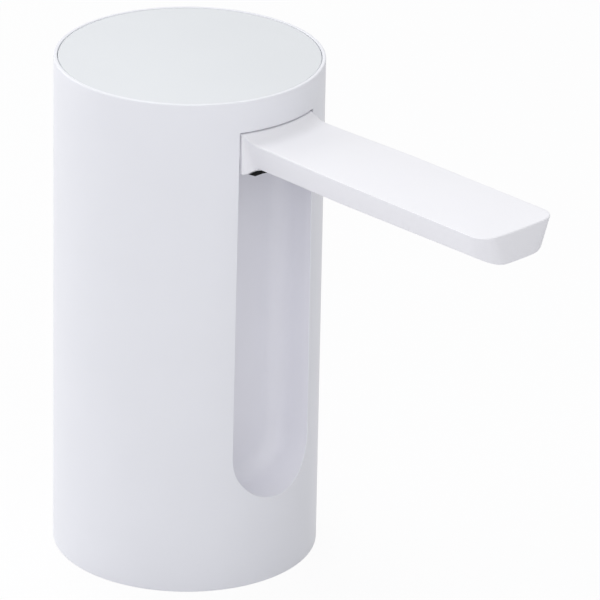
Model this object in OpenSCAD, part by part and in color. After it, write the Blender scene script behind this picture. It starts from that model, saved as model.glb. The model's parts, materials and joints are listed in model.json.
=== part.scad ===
// Electric water jug pump with a fold-away spout.
// Frame: X points along the spout, Z is up, the origin is the centre of the neck socket's mouth.

/* [Body] */
// Outside diameter of the body
body_d = 74; // [72:0.5:80]
// Height of the body from the table to the rim
body_h = 144.5; // [141:0.5:156]
// Wall thickness of the outer shell
wall = 2.2; // [1.9:0.1:2.6]
// Width of the thin rim around the top key
rim_w = 1; // [0.8:0.1:1.4]
// Clearance between moulded pieces that sit in one another
fit = 0.1; // [0.05:0.01:0.14]

/* [Top key] */
// Thickness of the key's disc
key_t = 2.1; // [1.8:0.1:2.6]
// How far the key goes down when it is pressed
key_travel = 0.7; // [0.4:0.05:0.8]
// Gap between the key and the rim around it
key_gap = 0.15; // [0.1:0.01:0.25]

/* [Spout recess] */
// Width of the window and of the recess behind it
window_w = 28.2; // [26.5:0.1:29]
// Height of body wall left above the window
window_drop = 8.85; // [8.85:0.05:10.5]
// Depth of the recess, from the body's front to its back wall
recess_depth = 15.2; // [15:0.1:16]
// Radius of the recess's back corners
recess_corner = 5.5; // [4:0.1:6]
// Finger room left below the folded spout's tip
finger_gap = 6.6; // [6.5:0.1:10]
// Wall thickness of the recess liner
liner_wall = 1.6; // [1.3:0.1:1.8]

/* [Spout] */
// Gap on each side between the spout and the window
side_gap = 0.35; // [0.3:0.01:0.5]
// How far the tip stands out in front of the body
arm_out = 88.9; // [80:0.1:92]
// Thickness of the arm
arm_t = 8.9; // [8.6:0.1:9.3]
// Slope of the arm's sides, in degrees from upright
arm_draft = 16; // [12:0.5:18]
// Corner radius of the tip, seen from above
tip_r = 5.7; // [4.5:0.1:7]
// Radius of the arm's lower edges
edge_r = 3.2; // [2.5:0.1:3.6]
// Wall thickness of the arm
arm_wall = 1.8; // [1.5:0.1:2]
// Height of the root plate above the arm's flat top
plate_rise = 1.8; // [1.5:0.05:1.85]
// Diameter of the hinge pins
pin_d = 2.5; // [2:0.1:2.8]
// Distance of the hinge pins behind the body's front
hinge_back = 8.2; // [8:0.1:8.6]
// Distance of the hinge pins below the arm's flat top
hinge_drop = 4.65; // [4.5:0.05:4.8]

/* [Water way] */
// Outside diameter of the silicone tubes
tube_d = 5; // [4.6:0.1:5.4]
// Bore of the silicone tubes
tube_bore = 3.5; // [3.2:0.1:3.8]
// Diameter of the outlet nozzle
nozzle_d = 10; // [9:0.1:11]

/* [Base] */
// Bore of the socket that goes over the jug's neck
neck_d = 56; // [54:0.5:57]
// Depth of the neck socket below its seal
neck_depth = 16; // [14:0.5:17]
// Diameter of the suction spigot
spigot_d = 8; // [7:0.1:9]

/* [Pump and motor] */
// Module of the pump's gears
gear_module = 0.9; // [0.85:0.01:0.92]
// Height of the pump's gears
gear_h = 8; // [6:0.5:9]
// Diameter of the motor's can
motor_d = 24; // [22:0.5:24.5]
// Length of the motor's can
motor_h = 32; // [28:0.5:36]
// Diameter of the motor's shaft
shaft_d = 3; // [2.5:0.1:3.2]

/* [Battery] */
// Diameter of the cell
cell_d = 18.3; // [16:0.1:18.6]
// Length of the cell
cell_h = 65.2; // [60:0.1:65.5]

/* [Boards] */
// Thickness of the circuit boards
board_t = 1.6; // [1:0.1:1.7]
// Width of the charging socket
usb_w = 8.9; // [8.4:0.1:9.2]
// Height of the charging socket
usb_h = 3.2; // [2.6:0.1:3.4]

/* [Hidden] */
$fn = 64;
small = 0.01;

// Body
body_r = body_d / 2;
shell_in = body_r - wall;
inner_r = shell_in - fit;

// Top key
key_sink = 0.1;
key_top = body_h - key_sink;
key_bottom = key_top - key_t;
stop_gap = 0.1;
ledge_z = key_bottom - key_travel - stop_gap;
rim_in = body_r - rim_w;
key_r = rim_in - key_gap;
skirt_t = 1.2;
skirt_h = 2.4;
pip_h = 0.3;
pip_r = 2;
leg_angles = [110, 180, 250];
leg_in = 4.7;
leg_r = inner_r - leg_in;
leg_w = 5;
leg_t = 2;
barb = 1;
barb_h = 1.4;
leg_gap = 0.2;
leg_room = 0.4;

// Recess and hinge
window_z = body_h - window_drop;
window_hw = window_w / 2;
plate_gap = 0.4;
plate_top = window_z - plate_gap;
arm_top = plate_top - plate_rise;
arm_bottom = arm_top - arm_t;
arm_hw = window_hw - side_gap;
hinge_x = body_r - hinge_back;
hinge_z = arm_top - hinge_drop;
tip_x = body_r + arm_out;
tip_folded_z = hinge_z - (tip_x - hinge_x);
recess_low = tip_folded_z - finger_gap;
low_c = recess_low + window_hw;
recess_back = body_r - recess_depth;
liner_back = recess_back - liner_wall;
liner_top = window_z + liner_wall;
pocket_h = 11.8;
pocket_z = hinge_z - pocket_h;
pocket_corner = 1.2;
knuckle_r = 5;
knuckle_in = 5;
washer_t = 0.6;
face_gap = 0.05;
pin_r = pin_d / 2;
washer_w = 1.1;
washer_r = pin_r + washer_w;
run_gap = 0.05;
seat_gap = 0.02;
web_low = 3.6;
web_high = 4;

// Root plate and heel
plate_drop = 1.25;
plate_bottom = arm_bottom - plate_drop;
plate_t = 2.7;
plate_r = body_r - 0.05;
plate_corner = 1.2;
root_sink = 0.2;
fillet_r = plate_rise - 0.15;
bumper_t = 0.9;
bumper_hw = arm_hw - 3.15;
bumper_front = body_r + 0.2;
bumper_deep = 2.9;
bumper_round = 0.6;

// Arm inside
arc_steps = 8;
lip = 2;
cover_t = 1;
cover_hw = 9;
slot_hw = 8;
cavity_x = body_r + 4;
cover_x0 = cavity_x + 4;
cover_x1 = tip_x - 4.5;
cover_gap = 0.12;
passage_gap = 0.3;
step_in = 1;
inner_round = 0.7;

// Water way
tube_r = tube_d / 2;
bore_r = tube_bore / 2;
barb_r = bore_r - 0.06;
barb_bore = 1;
nozzle_r = nozzle_d / 2;
nozzle_x = tip_x - 11;
nozzle_out = 0.6;
nozzle_bore = nozzle_r - 1.8;
nipple_l = 4;
fitting_r = 3.9;
fitting_t = 1.5;
elbow_r = 8;
riser_x = 6.5;
joiner_x = body_r;
joiner_t = 1;
end_gap = 0.1;
jet_r = 0.55;
jet_at = 1.9;
straightener_t = 1.6;

// Base
neck_r = neck_d / 2;
seal_t = 2;
seal_step = 1;
seal_seat_r = neck_r - seal_step;
ceiling_z = neck_depth + seal_t;
ceiling_t = 2.5;
sleeve_t = 2;
skirt_base_t = 2;
flange_t = 2.2;
foot_t = 1.2;
foot_rim = 0.6;
foot_w = 1.8;
foot_out = inner_r - foot_rim;
foot_in = foot_out - foot_w;
spigot_r = spigot_d / 2;
well_x = -14;
well_r = spigot_r + 4.6;
well_t = 1.5;
well_h = 15;
well_top = ceiling_z + well_h;
roof_t = 2;
spigot_low = ceiling_z + 2;
spigot_flange_t = 1.5;
spigot_flange_r = spigot_r + 2.4;
spigot_seal_t = 1;
spigot_top = well_top - spigot_seal_t;
seal_w = 4.1;
seal_out = seal_seat_r - fit;
stub_r = 3.1;
stub_bore = 2;
nut_r = 6;
nut_t = 3;
lug_angles = [60, 180, 300];
lug_span = 14;
lug_z = 8;
lug_h = 3;
lug_out = 0.9;
rib_t = 1.6;
rib_turn = 20;
post_r = 3.2;
post_gap = 3;

// Screws
small_head_r = 1.7;
small_head_h = 1.1;
small_shank_r = 0.8;
small_len = 3.4;
deck_head_r = 2.4;
deck_head_h = 1.8;
deck_shank_r = 1.2;
deck_len = 10;
pump_head_r = 2;
pump_head_h = 1.4;
pump_shank_r = 1;
motor_head_r = 1.8;
motor_head_h = 1.2;
motor_shank_r = 1;

// Chassis
deck_gap = 1;
deck_z = well_top + roof_t + nut_t + deck_gap;
deck_t = 2;
deck_top = deck_z + deck_t;
deck_r = inner_r - 0.2;
deck_x = liner_back - 0.3;
board_gap = 0.35;
board_z = liner_top + board_gap;
standoff_h = 2.6;
upper_top = board_z - standoff_h;
upper_z = upper_top - deck_t;
leg_low = upper_z - leg_gap - barb_h;
column_r = 3;
column_ring = deck_r - column_r - fit;
column_at = [for (a = [-66, 66, 207.5]) [column_ring * cos(a), column_ring * sin(a)]];
standoff_at = [[12, -18], [12, 18], [-20, 0]];
standoff_r = 2.4;
tab_l = 6.5;
tab_w = 7;
tab_y = 8.5;
tab_in = 3.5;
tab_screw_at = [for (s = [-1, 1]) [liner_back - tab_in, s * tab_y]];
lead_hole_r = 1.2;

// Pump
teeth = 12;
pitch_r = gear_module * teeth / 2;
addendum = 0.8 * gear_module;
pressure_angle = 25;
tip_gear_r = pitch_r + addendum;
root_r = pitch_r - gear_module;
backlash = 0.12;
motor_x = -9;
motor_y = -pitch_r;
idler_y = pitch_r;
port_at = 5;
port_r = 2.4;
cover_z = deck_top;
pump_cover_t = 2.5;
stub_top = cover_z + pump_cover_t - 0.5;
blind_floor = 0.6;
blind_roof = 0.8;
hole_gap = 0.1;
shaft_clear = 0.2;
gasket_t = 0.5;
pump_z = cover_z + pump_cover_t + gasket_t;
gear_gap = 0.1;
chamber_r = tip_gear_r + 0.06;
chamber_h = gear_h + 2 * gear_gap;
pump_roof_t = 3;
pump_top = pump_z + chamber_h + pump_roof_t;
motor_r = motor_d / 2;
pump_edge = 0.5;
pump_corner = 3;
pump_x0 = motor_x - motor_r - pump_edge;
pump_x1 = motor_x + motor_r + pump_edge;
pump_y0 = motor_y - motor_r - 1.2 * pump_corner;
pump_y1 = idler_y + motor_r + pump_edge;
post_at = [
  [pump_x1 + post_gap, pump_y0], [pump_x1 + post_gap, pump_y1],
  [pump_x0 + post_gap, pump_y1 + post_gap], [motor_x, pump_y0 - post_gap]
];
boss_w = 9;
channel_r = 1.6;
channel_z = pump_z + chamber_h / 2;
shaft_r = shaft_d / 2;
seal_r = 3.4;
seal_h = 1.8;
pump_screw_at = [
  for (x = [pump_x0 + pump_corner, pump_x1 - pump_corner])
    for (y = [pump_y0 + pump_corner, pump_y1 - pump_corner]) [x, y]
];
motor_screw_in = 2.7;
motor_screw_at = [for (s = [-1, 1]) [motor_x + s * (motor_r - motor_screw_in), motor_y]];
motor_screw_reach = 2;

// Motor
can_t = 1;
motor_z = pump_top;
motor_top = motor_z + motor_h;
cap_t = 2.5;
shaft_out = 0.8;
bush_r = 3;
bush_h = 2.4;
magnet_t = 2;
magnet_r = motor_r - can_t - 0.05;
air_gap = 0.6;
armature_r = magnet_r - magnet_t - air_gap;
slot_deep = 2;
winding_r = armature_r - slot_deep;
terminal_off = 5;
terminal_h = 3;
terminal_t = 0.8;
terminal_w = 2.8;
cap_plate_t = 1.6;
terminal_z = motor_top + cap_plate_t;
terminal_top = terminal_z + terminal_h;
motor_lead_at = [for (s = [-1, 1]) [motor_x + s * terminal_off, motor_y]];
magnet_low = 5;
magnet_high = 6;
magnet_h = motor_h - magnet_low - magnet_high;
core_low = 6;
core_high = 8;
core_h = motor_h - core_low - core_high;
winding_out = 1.6;
commutator_h = 4.4;
commutator_t = 1.6;
slot_w = 1.6;

// Battery
cell_r = cell_d / 2;
cradle_gap = 0.2;
cradle_t = 1.4;
cradle_out = cell_r + cradle_gap + cradle_t;
cell_in = 2.1;
cell_turn = 106;
cell_x = (inner_r - cradle_out - cell_in) * cos(cell_turn);
cell_y = (inner_r - cradle_out - cell_in) * sin(cell_turn);
cradle_floor = 2;
contact_t = 0.5;
cradle_lift = 0.4;
cradle_z = pump_top + pump_head_h + cradle_lift;
cradle_foot = 10;
cradle_turn = -100;
cradle_open = 3;
cell_z = cradle_z + cradle_floor + contact_t;
cell_top = cell_z + cell_h;
nub_r = 3;
nub_h = 1;
lead_r = 0.6;
lead_off = 1.6;
lead_x = cell_x + cradle_out + lead_off;
cell_lead_at = [[cell_x, cell_y], [lead_x, cell_y]];
strip_w = 3.6;
strip_gap = 0.3;
lead_gap = 0.3;

// Boards
main_in = 6.3;
main_r = inner_r - main_in;
main_top = board_z + board_t;
tact_w = 6;
tact_h = 1.4;
stem_r = 1.6;
stem_top = key_bottom - pip_h - key_travel - stop_gap;
pad_r = 2.5;
pad_at = 18;
pad_angles = [45, 165, 285];
// Board components as low corner and size
components = [
  [[-9, 7], [7, 7, 1]], [[3, -13], [5, 4, 1]],
  [[-13, -6], [1.6, 0.8, 0.6]], [[-13, -2], [1.6, 0.8, 0.6]], [[-13, 2], [1.6, 0.8, 0.6]]
];
charge_in = 5;
charge_x0 = charge_in - body_r;
charge_x1 = pump_x0 - board_gap;
charge_hw = 9.6;
charge_screw_y = 7.6;
charge_lead_y = 3;
charge_screw_at = [for (s = [-1, 1]) [charge_x1 - standoff_r, s * charge_screw_y]];
charge_lead_at = [for (s = [-1, 1]) [charge_x1 - standoff_r, s * charge_lead_y]];
charge_lift = 5;
charge_z = deck_top + charge_lift;
charge_top = charge_z + board_t;
usb_in = 0.8;
usb_x0 = usb_in - body_r;
usb_l = 7.3;
usb_z = charge_top + usb_h / 2;
usb_gap = 0.3;
usb_wall = 0.3;
usb_back = 0.6;
tongue_in = 1.1;
tongue_t = 0.7;
led_y = 8.4;
pipe_r = 1.25;
pipe_x0 = -sqrt(pow(body_r, 2) - pow(led_y + pipe_r, 2));
led_in = 0.4;
led_x = charge_x0 + led_in;
led_w = 1.6;

white = "#f2f3f6";
ivory = "#dfe1e6";
black = "#17181a";
steel = "#b9bdc2";
clear_rubber = "#d9dde0";

// Shared shapes

module disc(r, z0, z1, at = [0, 0]) {
  translate([at[0], at[1], z0]) cylinder(r = r, h = z1 - z0);
}

module tube(r_out, r_in, z0, z1, at = [0, 0]) {
  difference() {
    disc(r_out, z0, z1, at);
    disc(r_in, z0 - 1, z1 + 1, at);
  }
}

module rod_x(r, x0, x1, y, z) {
  translate([x0, y, z]) rotate([0, 90, 0]) cylinder(r = r, h = x1 - x0);
}

module rod_y(r, y0, y1, x, z) {
  translate([x, y1, z]) rotate([90, 0, 0]) cylinder(r = r, h = y1 - y0);
}

module block(low, high) {
  translate(low) cube(high - low);
}

// A shape drawn in (y, z) and run along X from x0 to x1
module run_x(x0, x1) {
  translate([x0, 0, 0]) rotate([90, 0, 90]) linear_extrude(x1 - x0) children();
}

module both_sides() {
  children();
  mirror([0, 1, 0]) children();
}

module rounded_square(low, high, r) {
  translate([low[0] + r, low[1]]) square([high[0] - low[0] - 2 * r, high[1] - low[1]]);
  translate([low[0], low[1] + r]) square([high[0] - low[0], high[1] - low[1] - 2 * r]);
  for (u = [low[0] + r, high[0] - r]) {
    for (v = [low[1] + r, high[1] - r]) translate([u, v]) circle(r);
  }
}

// A screw with its head's underside at z, pointing down
module screw(at, z, head_r, head_h, shank_r, len) {
  difference() {
    disc(head_r, z, z + head_h, at);
    translate([at[0], at[1], z + head_h / 2]) cylinder(r = head_r / 2, h = head_h, $fn = 6);
  }
  disc(shank_r, z - len, z + small, at);
}

// Outline of the recess seen from above, with round back corners
module recess_plan(hw, back, rc) {
  translate([back + rc, -hw]) square([body_r + 5 - back - rc, 2 * hw]);
  translate([back, -hw + rc]) square([rc + small, 2 * (hw - rc)]);
  for (s = [-1, 1]) translate([back + rc, s * (hw - rc)]) circle(rc);
}

// Room of the recess, grown by a wall thickness, with a round lower end and a square upper pocket
module recess_room(grow, top_z) {
  hw = window_hw + grow;
  back = recess_back - grow;
  rc = recess_corner + grow;
  translate([0, 0, low_c]) linear_extrude(top_z - low_c) recess_plan(hw, back, rc);
  translate([0, 0, low_c]) rotate([0, 90, 0]) rotate_extrude() {
    translate([0, back + rc]) square([hw, body_r + 5 - back - rc]);
    translate([0, back]) square([hw - rc, rc + small]);
    translate([hw - rc, back + rc]) intersection() {
      circle(rc);
      translate([-small, -rc]) square([rc + small, rc + small]);
    }
  }
  translate([0, 0, pocket_z - grow]) linear_extrude(top_z - pocket_z + grow)
    recess_plan(hw, back, pocket_corner + grow);
}

module window_outline() {
  translate([-window_hw, low_c]) square([window_w, window_z - low_c]);
  translate([0, low_c]) circle(window_hw);
}

// Body

module outer_shell() {
  color(white) difference() {
    disc(body_r, 0, body_h);
    disc(shell_in, -1, ledge_z + small);
    disc(rim_in, ledge_z, body_h + 1);
    run_x(0, body_r + 5) window_outline();
    run_x(-body_r - 5, 0) rounded_square([-usb_w / 2 - usb_gap, usb_z - usb_h / 2 - usb_gap],
      [usb_w / 2 + usb_gap, usb_z + usb_h / 2 + usb_gap], usb_h / 2);
    rod_x(pipe_r + seat_gap, -body_r - 5, 0, led_y, usb_z);
    for (a = lug_angles) rotate([0, 0, a - lug_span / 2 - 1]) rotate_extrude(angle = lug_span + 2)
      translate([shell_in - 1, lug_z - fit]) square([1 + lug_out + fit, lug_h + 2 * fit]);
  }
}

module liner_tab(y) {
  block([liner_back - tab_l, y - tab_w / 2, upper_top],
    [liner_back + liner_wall / 2, y + tab_w / 2, upper_top + liner_wall]);
}

module recess_liner() {
  color(white) difference() {
    union() {
      intersection() {
        recess_room(liner_wall, liner_top);
        disc(inner_r, 0, body_h);
      }
      for (p = tab_screw_at) liner_tab(p[1]);
    }
    recess_room(0, window_z);
    rod_y(pin_r + seat_gap, -body_r, body_r, hinge_x, hinge_z);
    rod_x(tube_r + fit, liner_back - 1, recess_back + 1, 0, hinge_z);
    for (p = tab_screw_at) disc(small_shank_r + seat_gap, upper_z, board_z, p);
  }
}

module key_leg(a) {
  rotate([0, 0, a]) {
    block([leg_r, -leg_w / 2, leg_low], [leg_r + leg_t, leg_w / 2, key_bottom + small]);
    block([leg_r - barb, -leg_w / 2, leg_low], [leg_r + small, leg_w / 2, leg_low + barb_h]);
  }
}

module top_key() {
  color(white) {
    disc(key_r, key_bottom, key_top);
    tube(shell_in - key_gap, shell_in - key_gap - skirt_t, key_bottom - skirt_h, key_bottom + small);
    disc(pip_r, key_bottom - pip_h, key_bottom + small);
    for (a = leg_angles) key_leg(a);
  }
}

// Spout

// Section of the arm, drawn in (y, z) with its flat top at 0: sloping sides and round lower edges
module arm_section(hw, t, r) {
  cy = hw - (t - r) * tan(arm_draft) - r / cos(arm_draft);
  turn = 90 - arm_draft;
  edge = [for (i = [0:arc_steps]) let (a = -arm_draft - turn * i / arc_steps)
    [cy + r * cos(a), r - t + r * sin(a)]];
  left = [for (i = [arc_steps:-1:0]) [-edge[i][0], edge[i][1]]];
  polygon(concat([[-hw, 0], [hw, 0]], edge, left));
}

module arm_plan(x0, x1, hw, r) {
  translate([x0, -hw]) square([x1 - x0 - r, 2 * hw]);
  translate([x0, -hw + r]) square([x1 - x0, 2 * (hw - r)]);
  for (s = [-1, 1]) translate([x1 - r, s * (hw - r)]) circle(r);
}

module arm_form(x0, inset, low) {
  intersection() {
    run_x(x0, tip_x) translate([0, arm_top - inset])
      arm_section(arm_hw - inset, arm_t - inset - low, edge_r - inset * inner_round);
    translate([0, 0, arm_bottom - 1]) linear_extrude(arm_t + 2)
      arm_plan(x0, tip_x - inset, arm_hw - inset, tip_r - inset);
  }
}

// Curved root plate with a concave fillet down to the arm's flat top
module root_plate() {
  back = plate_r - plate_t;
  fillet = [for (i = [0:arc_steps]) let (a = -90 - 90 * i / arc_steps)
    [plate_r + fillet_r + fillet_r * cos(a), arm_top + fillet_r + fillet_r * sin(a)]];
  intersection() {
    rotate_extrude() polygon(concat(
      [[back, plate_bottom], [plate_r, plate_bottom], [plate_r, arm_top - root_sink],
        [plate_r + fillet_r, arm_top - root_sink]],
      fillet,
      [[plate_r, plate_top], [back, plate_top]]
    ));
    run_x(0, body_r + 5) rounded_square([-arm_hw, plate_bottom], [arm_hw, plate_top], plate_corner);
  }
}

module knuckle() {
  outer = arm_hw + side_gap - washer_t - 2 * face_gap;
  rod_y(knuckle_r, knuckle_in, outer, hinge_x, hinge_z);
  block([hinge_x, knuckle_in, hinge_z - web_low], [plate_r - plate_t / 2, outer, hinge_z + web_high]);
}

module arm_shell() {
  color(white) difference() {
    union() {
      arm_form(plate_r - plate_t, 0, 0);
      root_plate();
      intersection() {
        both_sides() knuckle();
        disc(plate_r, 0, body_h);
      }
    }
    arm_form(cavity_x, arm_wall, lip);
    block([cover_x0 + step_in, -slot_hw, arm_bottom - 1],
      [cover_x1 - step_in, slot_hw, arm_bottom + lip + 1]);
    block([cover_x0, -cover_hw - cover_gap, arm_bottom - 1],
      [cover_x1, cover_hw + cover_gap, arm_bottom + cover_t]);
    rod_x(tube_r + passage_gap, hinge_x, cover_x0 + 2 * step_in, 0, hinge_z);
    rod_y(pin_r + run_gap, -arm_hw - 1, arm_hw + 1, hinge_x, hinge_z);
  }
}

module arm_cover() {
  color(white) difference() {
    block([cover_x0 + cover_gap, -cover_hw, arm_bottom],
      [cover_x1 - cover_gap, cover_hw, arm_bottom + cover_t]);
    disc(nozzle_r + fit, 0, body_h, [nozzle_x, 0]);
  }
}

module heel_bumper() {
  color(black) intersection() {
    block([bumper_front - bumper_deep, -bumper_hw, plate_bottom - bumper_t],
      [bumper_front, bumper_hw, plate_bottom]);
    disc(bumper_front + bumper_round, 0, body_h);
  }
}

module hinge_pins() {
  color(steel) both_sides() rod_y(pin_r, knuckle_in + 1, window_hw + liner_wall - 0.05, hinge_x, hinge_z);
}

module friction_washers() {
  color(black) both_sides() difference() {
    rod_y(washer_r, window_hw - face_gap - washer_t, window_hw - face_gap, hinge_x, hinge_z);
    rod_y(pin_r + run_gap, 0, body_r, hinge_x, hinge_z);
  }
}

module outlet_nozzle() {
  color(ivory) difference() {
    union() {
      disc(nozzle_r, arm_bottom - nozzle_out, arm_top - arm_wall, [nozzle_x, 0]);
      rod_x(barb_r, nozzle_x - nozzle_r - nipple_l, nozzle_x, 0, hinge_z);
    }
    disc(nozzle_bore, arm_bottom - nozzle_out - 1, hinge_z + barb_bore, [nozzle_x, 0]);
    rod_x(barb_bore, nozzle_x - nozzle_r - nipple_l - 1, nozzle_x, 0, hinge_z);
  }
}

module flow_straightener() {
  color(ivory) difference() {
    disc(nozzle_bore - seat_gap, arm_bottom, arm_bottom + straightener_t, [nozzle_x, 0]);
    disc(jet_r, 0, body_h, [nozzle_x, 0]);
    for (a = [0:60:300]) disc(jet_r, 0, body_h, [nozzle_x + jet_at * cos(a), jet_at * sin(a)]);
  }
}

module tube_x(x0, x1) {
  color(clear_rubber) difference() {
    rod_x(tube_r, x0, x1, 0, hinge_z);
    rod_x(bore_r, x0 - 1, x1 + 1, 0, hinge_z);
  }
}

module arm_tube() {
  tube_x(joiner_x + joiner_t + end_gap, nozzle_x - nozzle_r - end_gap);
}

module hose_joiner() {
  color(ivory) difference() {
    union() {
      rod_x(tube_r, joiner_x, joiner_x + joiner_t, 0, hinge_z);
      rod_x(barb_r, joiner_x - nipple_l, joiner_x + joiner_t + nipple_l, 0, hinge_z);
    }
    rod_x(barb_bore, joiner_x - nipple_l - 1, joiner_x + joiner_t + nipple_l + 1, 0, hinge_z);
  }
}

module hinge_hose() {
  tube_x(recess_back + end_gap, joiner_x - end_gap);
}

module wall_fitting() {
  color(ivory) difference() {
    union() {
      rod_x(fitting_r, liner_back - fitting_t, liner_back, 0, hinge_z);
      rod_x(tube_r, liner_back - small, recess_back, 0, hinge_z);
      rod_x(barb_r, liner_back - fitting_t - nipple_l, recess_back + nipple_l, 0, hinge_z);
    }
    rod_x(barb_bore, liner_back - fitting_t - nipple_l - 1, recess_back + nipple_l + 1, 0, hinge_z);
  }
}

// Riser from the pump, one elbow, and a straight end on the wall fitting
module delivery_path(r, over) {
  disc(r, pump_top + end_gap - over, hinge_z - elbow_r, [riser_x, 0]);
  translate([riser_x + elbow_r, 0, hinge_z - elbow_r]) rotate([90, 0, 0]) rotate([0, 0, 90])
    rotate_extrude(angle = 90) translate([elbow_r, 0]) circle(r);
  rod_x(r, riser_x + elbow_r, liner_back - fitting_t - end_gap + over, 0, hinge_z);
}

module delivery_tube() {
  color(clear_rubber) difference() {
    delivery_path(tube_r, 0);
    delivery_path(bore_r, 1);
  }
}

// Base

module base_cup() {
  color(white) difference() {
    union() {
      disc(neck_r + sleeve_t, 0, ceiling_z + ceiling_t);
      disc(inner_r, 0, flange_t + foot_t);
      tube(inner_r, inner_r - skirt_base_t, 0, ceiling_z + ceiling_t);
      for (a = [0:45:315]) rotate([0, 0, a + rib_turn])
        block([neck_r, -rib_t / 2, 0], [inner_r - fit, rib_t / 2, ceiling_z]);
      disc(well_r + well_t, ceiling_z, well_top + roof_t, [well_x, 0]);
      for (p = post_at) disc(post_r, ceiling_z, deck_z, p);
      for (a = lug_angles) rotate([0, 0, a - lug_span / 2]) rotate_extrude(angle = lug_span)
        translate([inner_r - 1, lug_z]) square([1 + lug_out, lug_h]);
    }
    disc(neck_r, -1, neck_depth);
    disc(seal_seat_r, neck_depth - 1, ceiling_z);
    disc(well_r, ceiling_z - 1, well_top, [well_x, 0]);
    disc(stub_r + fit, well_top - 1, deck_z, [well_x, 0]);
    tube(foot_out + seat_gap, foot_in - seat_gap, -1, foot_t);
    for (p = post_at) disc(deck_shank_r + seat_gap, deck_z - deck_len + deck_t - 1, deck_z + 1, p);
  }
}

module foot_ring() {
  color(black) tube(foot_out, foot_in, 0, foot_t);
}

module neck_seal() {
  color(clear_rubber) tube(seal_out, seal_out - seal_w, neck_depth, ceiling_z);
}

module suction_spigot() {
  color(ivory) difference() {
    union() {
      disc(spigot_r, spigot_low, spigot_top, [well_x, 0]);
      disc(spigot_flange_r, spigot_top - spigot_flange_t, spigot_top, [well_x, 0]);
      disc(stub_r, spigot_top - small, stub_top, [well_x, 0]);
    }
    disc(stub_bore, 0, body_h, [well_x, 0]);
  }
}

module inlet_seal() {
  color(black) tube(spigot_flange_r - fit, stub_r + fit, spigot_top, well_top, [well_x, 0]);
}

module spigot_nut() {
  color(ivory) difference() {
    translate([well_x, 0, well_top + roof_t]) cylinder(r = nut_r, h = nut_t, $fn = 6);
    disc(stub_r + seat_gap, 0, body_h, [well_x, 0]);
  }
}

// Frame inside

module deck_plan() {
  intersection() {
    circle(deck_r);
    translate([-body_d, -body_d]) square([body_d + deck_x, 2 * body_d]);
  }
}

module chassis() {
  color(ivory) difference() {
    union() {
      translate([0, 0, deck_z]) linear_extrude(deck_t) deck_plan();
      translate([0, 0, upper_z]) linear_extrude(deck_t) deck_plan();
      for (p = column_at) disc(column_r, deck_z, upper_top, p);
      for (p = standoff_at) disc(standoff_r, upper_z, board_z, p);
      for (p = charge_screw_at) disc(standoff_r, deck_z, charge_z, p);
    }
    disc(stub_r + hole_gap, 0, deck_top + 1, [well_x, 0]);
    for (p = post_at) disc(deck_shank_r + hole_gap, deck_z - 1, deck_top + 1, p);
    for (p = standoff_at) disc(small_shank_r + seat_gap, upper_z + 1, board_z + 1, p);
    for (p = charge_screw_at) disc(small_shank_r + seat_gap, deck_z + 1, charge_z + 1, p);
    for (p = tab_screw_at) disc(small_shank_r + seat_gap, upper_z - 1, upper_top + 1, p);
    for (p = pump_screw_at) disc(pump_shank_r + seat_gap, deck_z - 1, deck_top + 1, p);
    for (a = leg_angles) rotate([0, 0, a])
      block([leg_r - barb - leg_room, -leg_w / 2 - leg_room, upper_z - 1],
        [leg_r + leg_t + leg_room, leg_w / 2 + leg_room, upper_top + 1]);
    for (p = concat(motor_lead_at, cell_lead_at, charge_lead_at))
      disc(lead_hole_r, upper_z - 1, upper_top + 1, p);
  }
}

module deck_screws() {
  color(steel) for (p = post_at) screw(p, deck_top, deck_head_r, deck_head_h, deck_shank_r, deck_len);
}

module small_screws() {
  color(steel) {
    for (p = standoff_at) screw(p, main_top, small_head_r, small_head_h, small_shank_r, small_len);
    for (p = charge_screw_at) screw(p, charge_top, small_head_r, small_head_h, small_shank_r, small_len);
    for (p = tab_screw_at)
      screw(p, upper_top + liner_wall, small_head_r, small_head_h, small_shank_r, small_len);
  }
}

// Pump

// Tooth flanks run straight from the root to the tip at the pressure angle
module gear_outline() {
  slope = tan(pressure_angle);
  half = PI * gear_module / 4 - backlash;
  flank = [
    [root_r, half + addendum * slope],
    [pitch_r, half],
    [tip_gear_r, half - addendum * slope]
  ];
  tooth = concat(
    [for (p = flank) [p[0], -p[1]]],
    [for (i = [2:-1:0]) flank[i]]
  );
  polygon([for (i = [0:teeth - 1]) for (p = tooth) let (a = 360 / teeth * i)
    [p[0] * cos(a) - p[1] * sin(a), p[0] * sin(a) + p[1] * cos(a)]]);
}

module drive_gear() {
  color(ivory) translate([motor_x, motor_y, pump_z + gear_gap]) rotate([0, 0, 90]) linear_extrude(gear_h)
    difference() {
      gear_outline();
      circle(shaft_r + seat_gap);
    }
}

module idler_gear() {
  color(ivory) translate([motor_x, idler_y, pump_z + gear_gap]) rotate([0, 0, 90 + 180 / teeth])
    linear_extrude(gear_h) difference() {
      gear_outline();
      circle(shaft_r + run_gap);
    }
}

module idler_pin() {
  color(steel) disc(shaft_r, cover_z + blind_floor, pump_top - blind_roof, [motor_x, idler_y]);
}

module pump_outline() {
  rounded_square([pump_x0, pump_y0], [pump_x1, pump_y1], pump_corner);
  translate([pump_x1 - 1, -boss_w / 2]) square([riser_x - pump_x1 + 1, boss_w]);
  translate([riser_x, 0]) circle(boss_w / 2);
}

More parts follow.
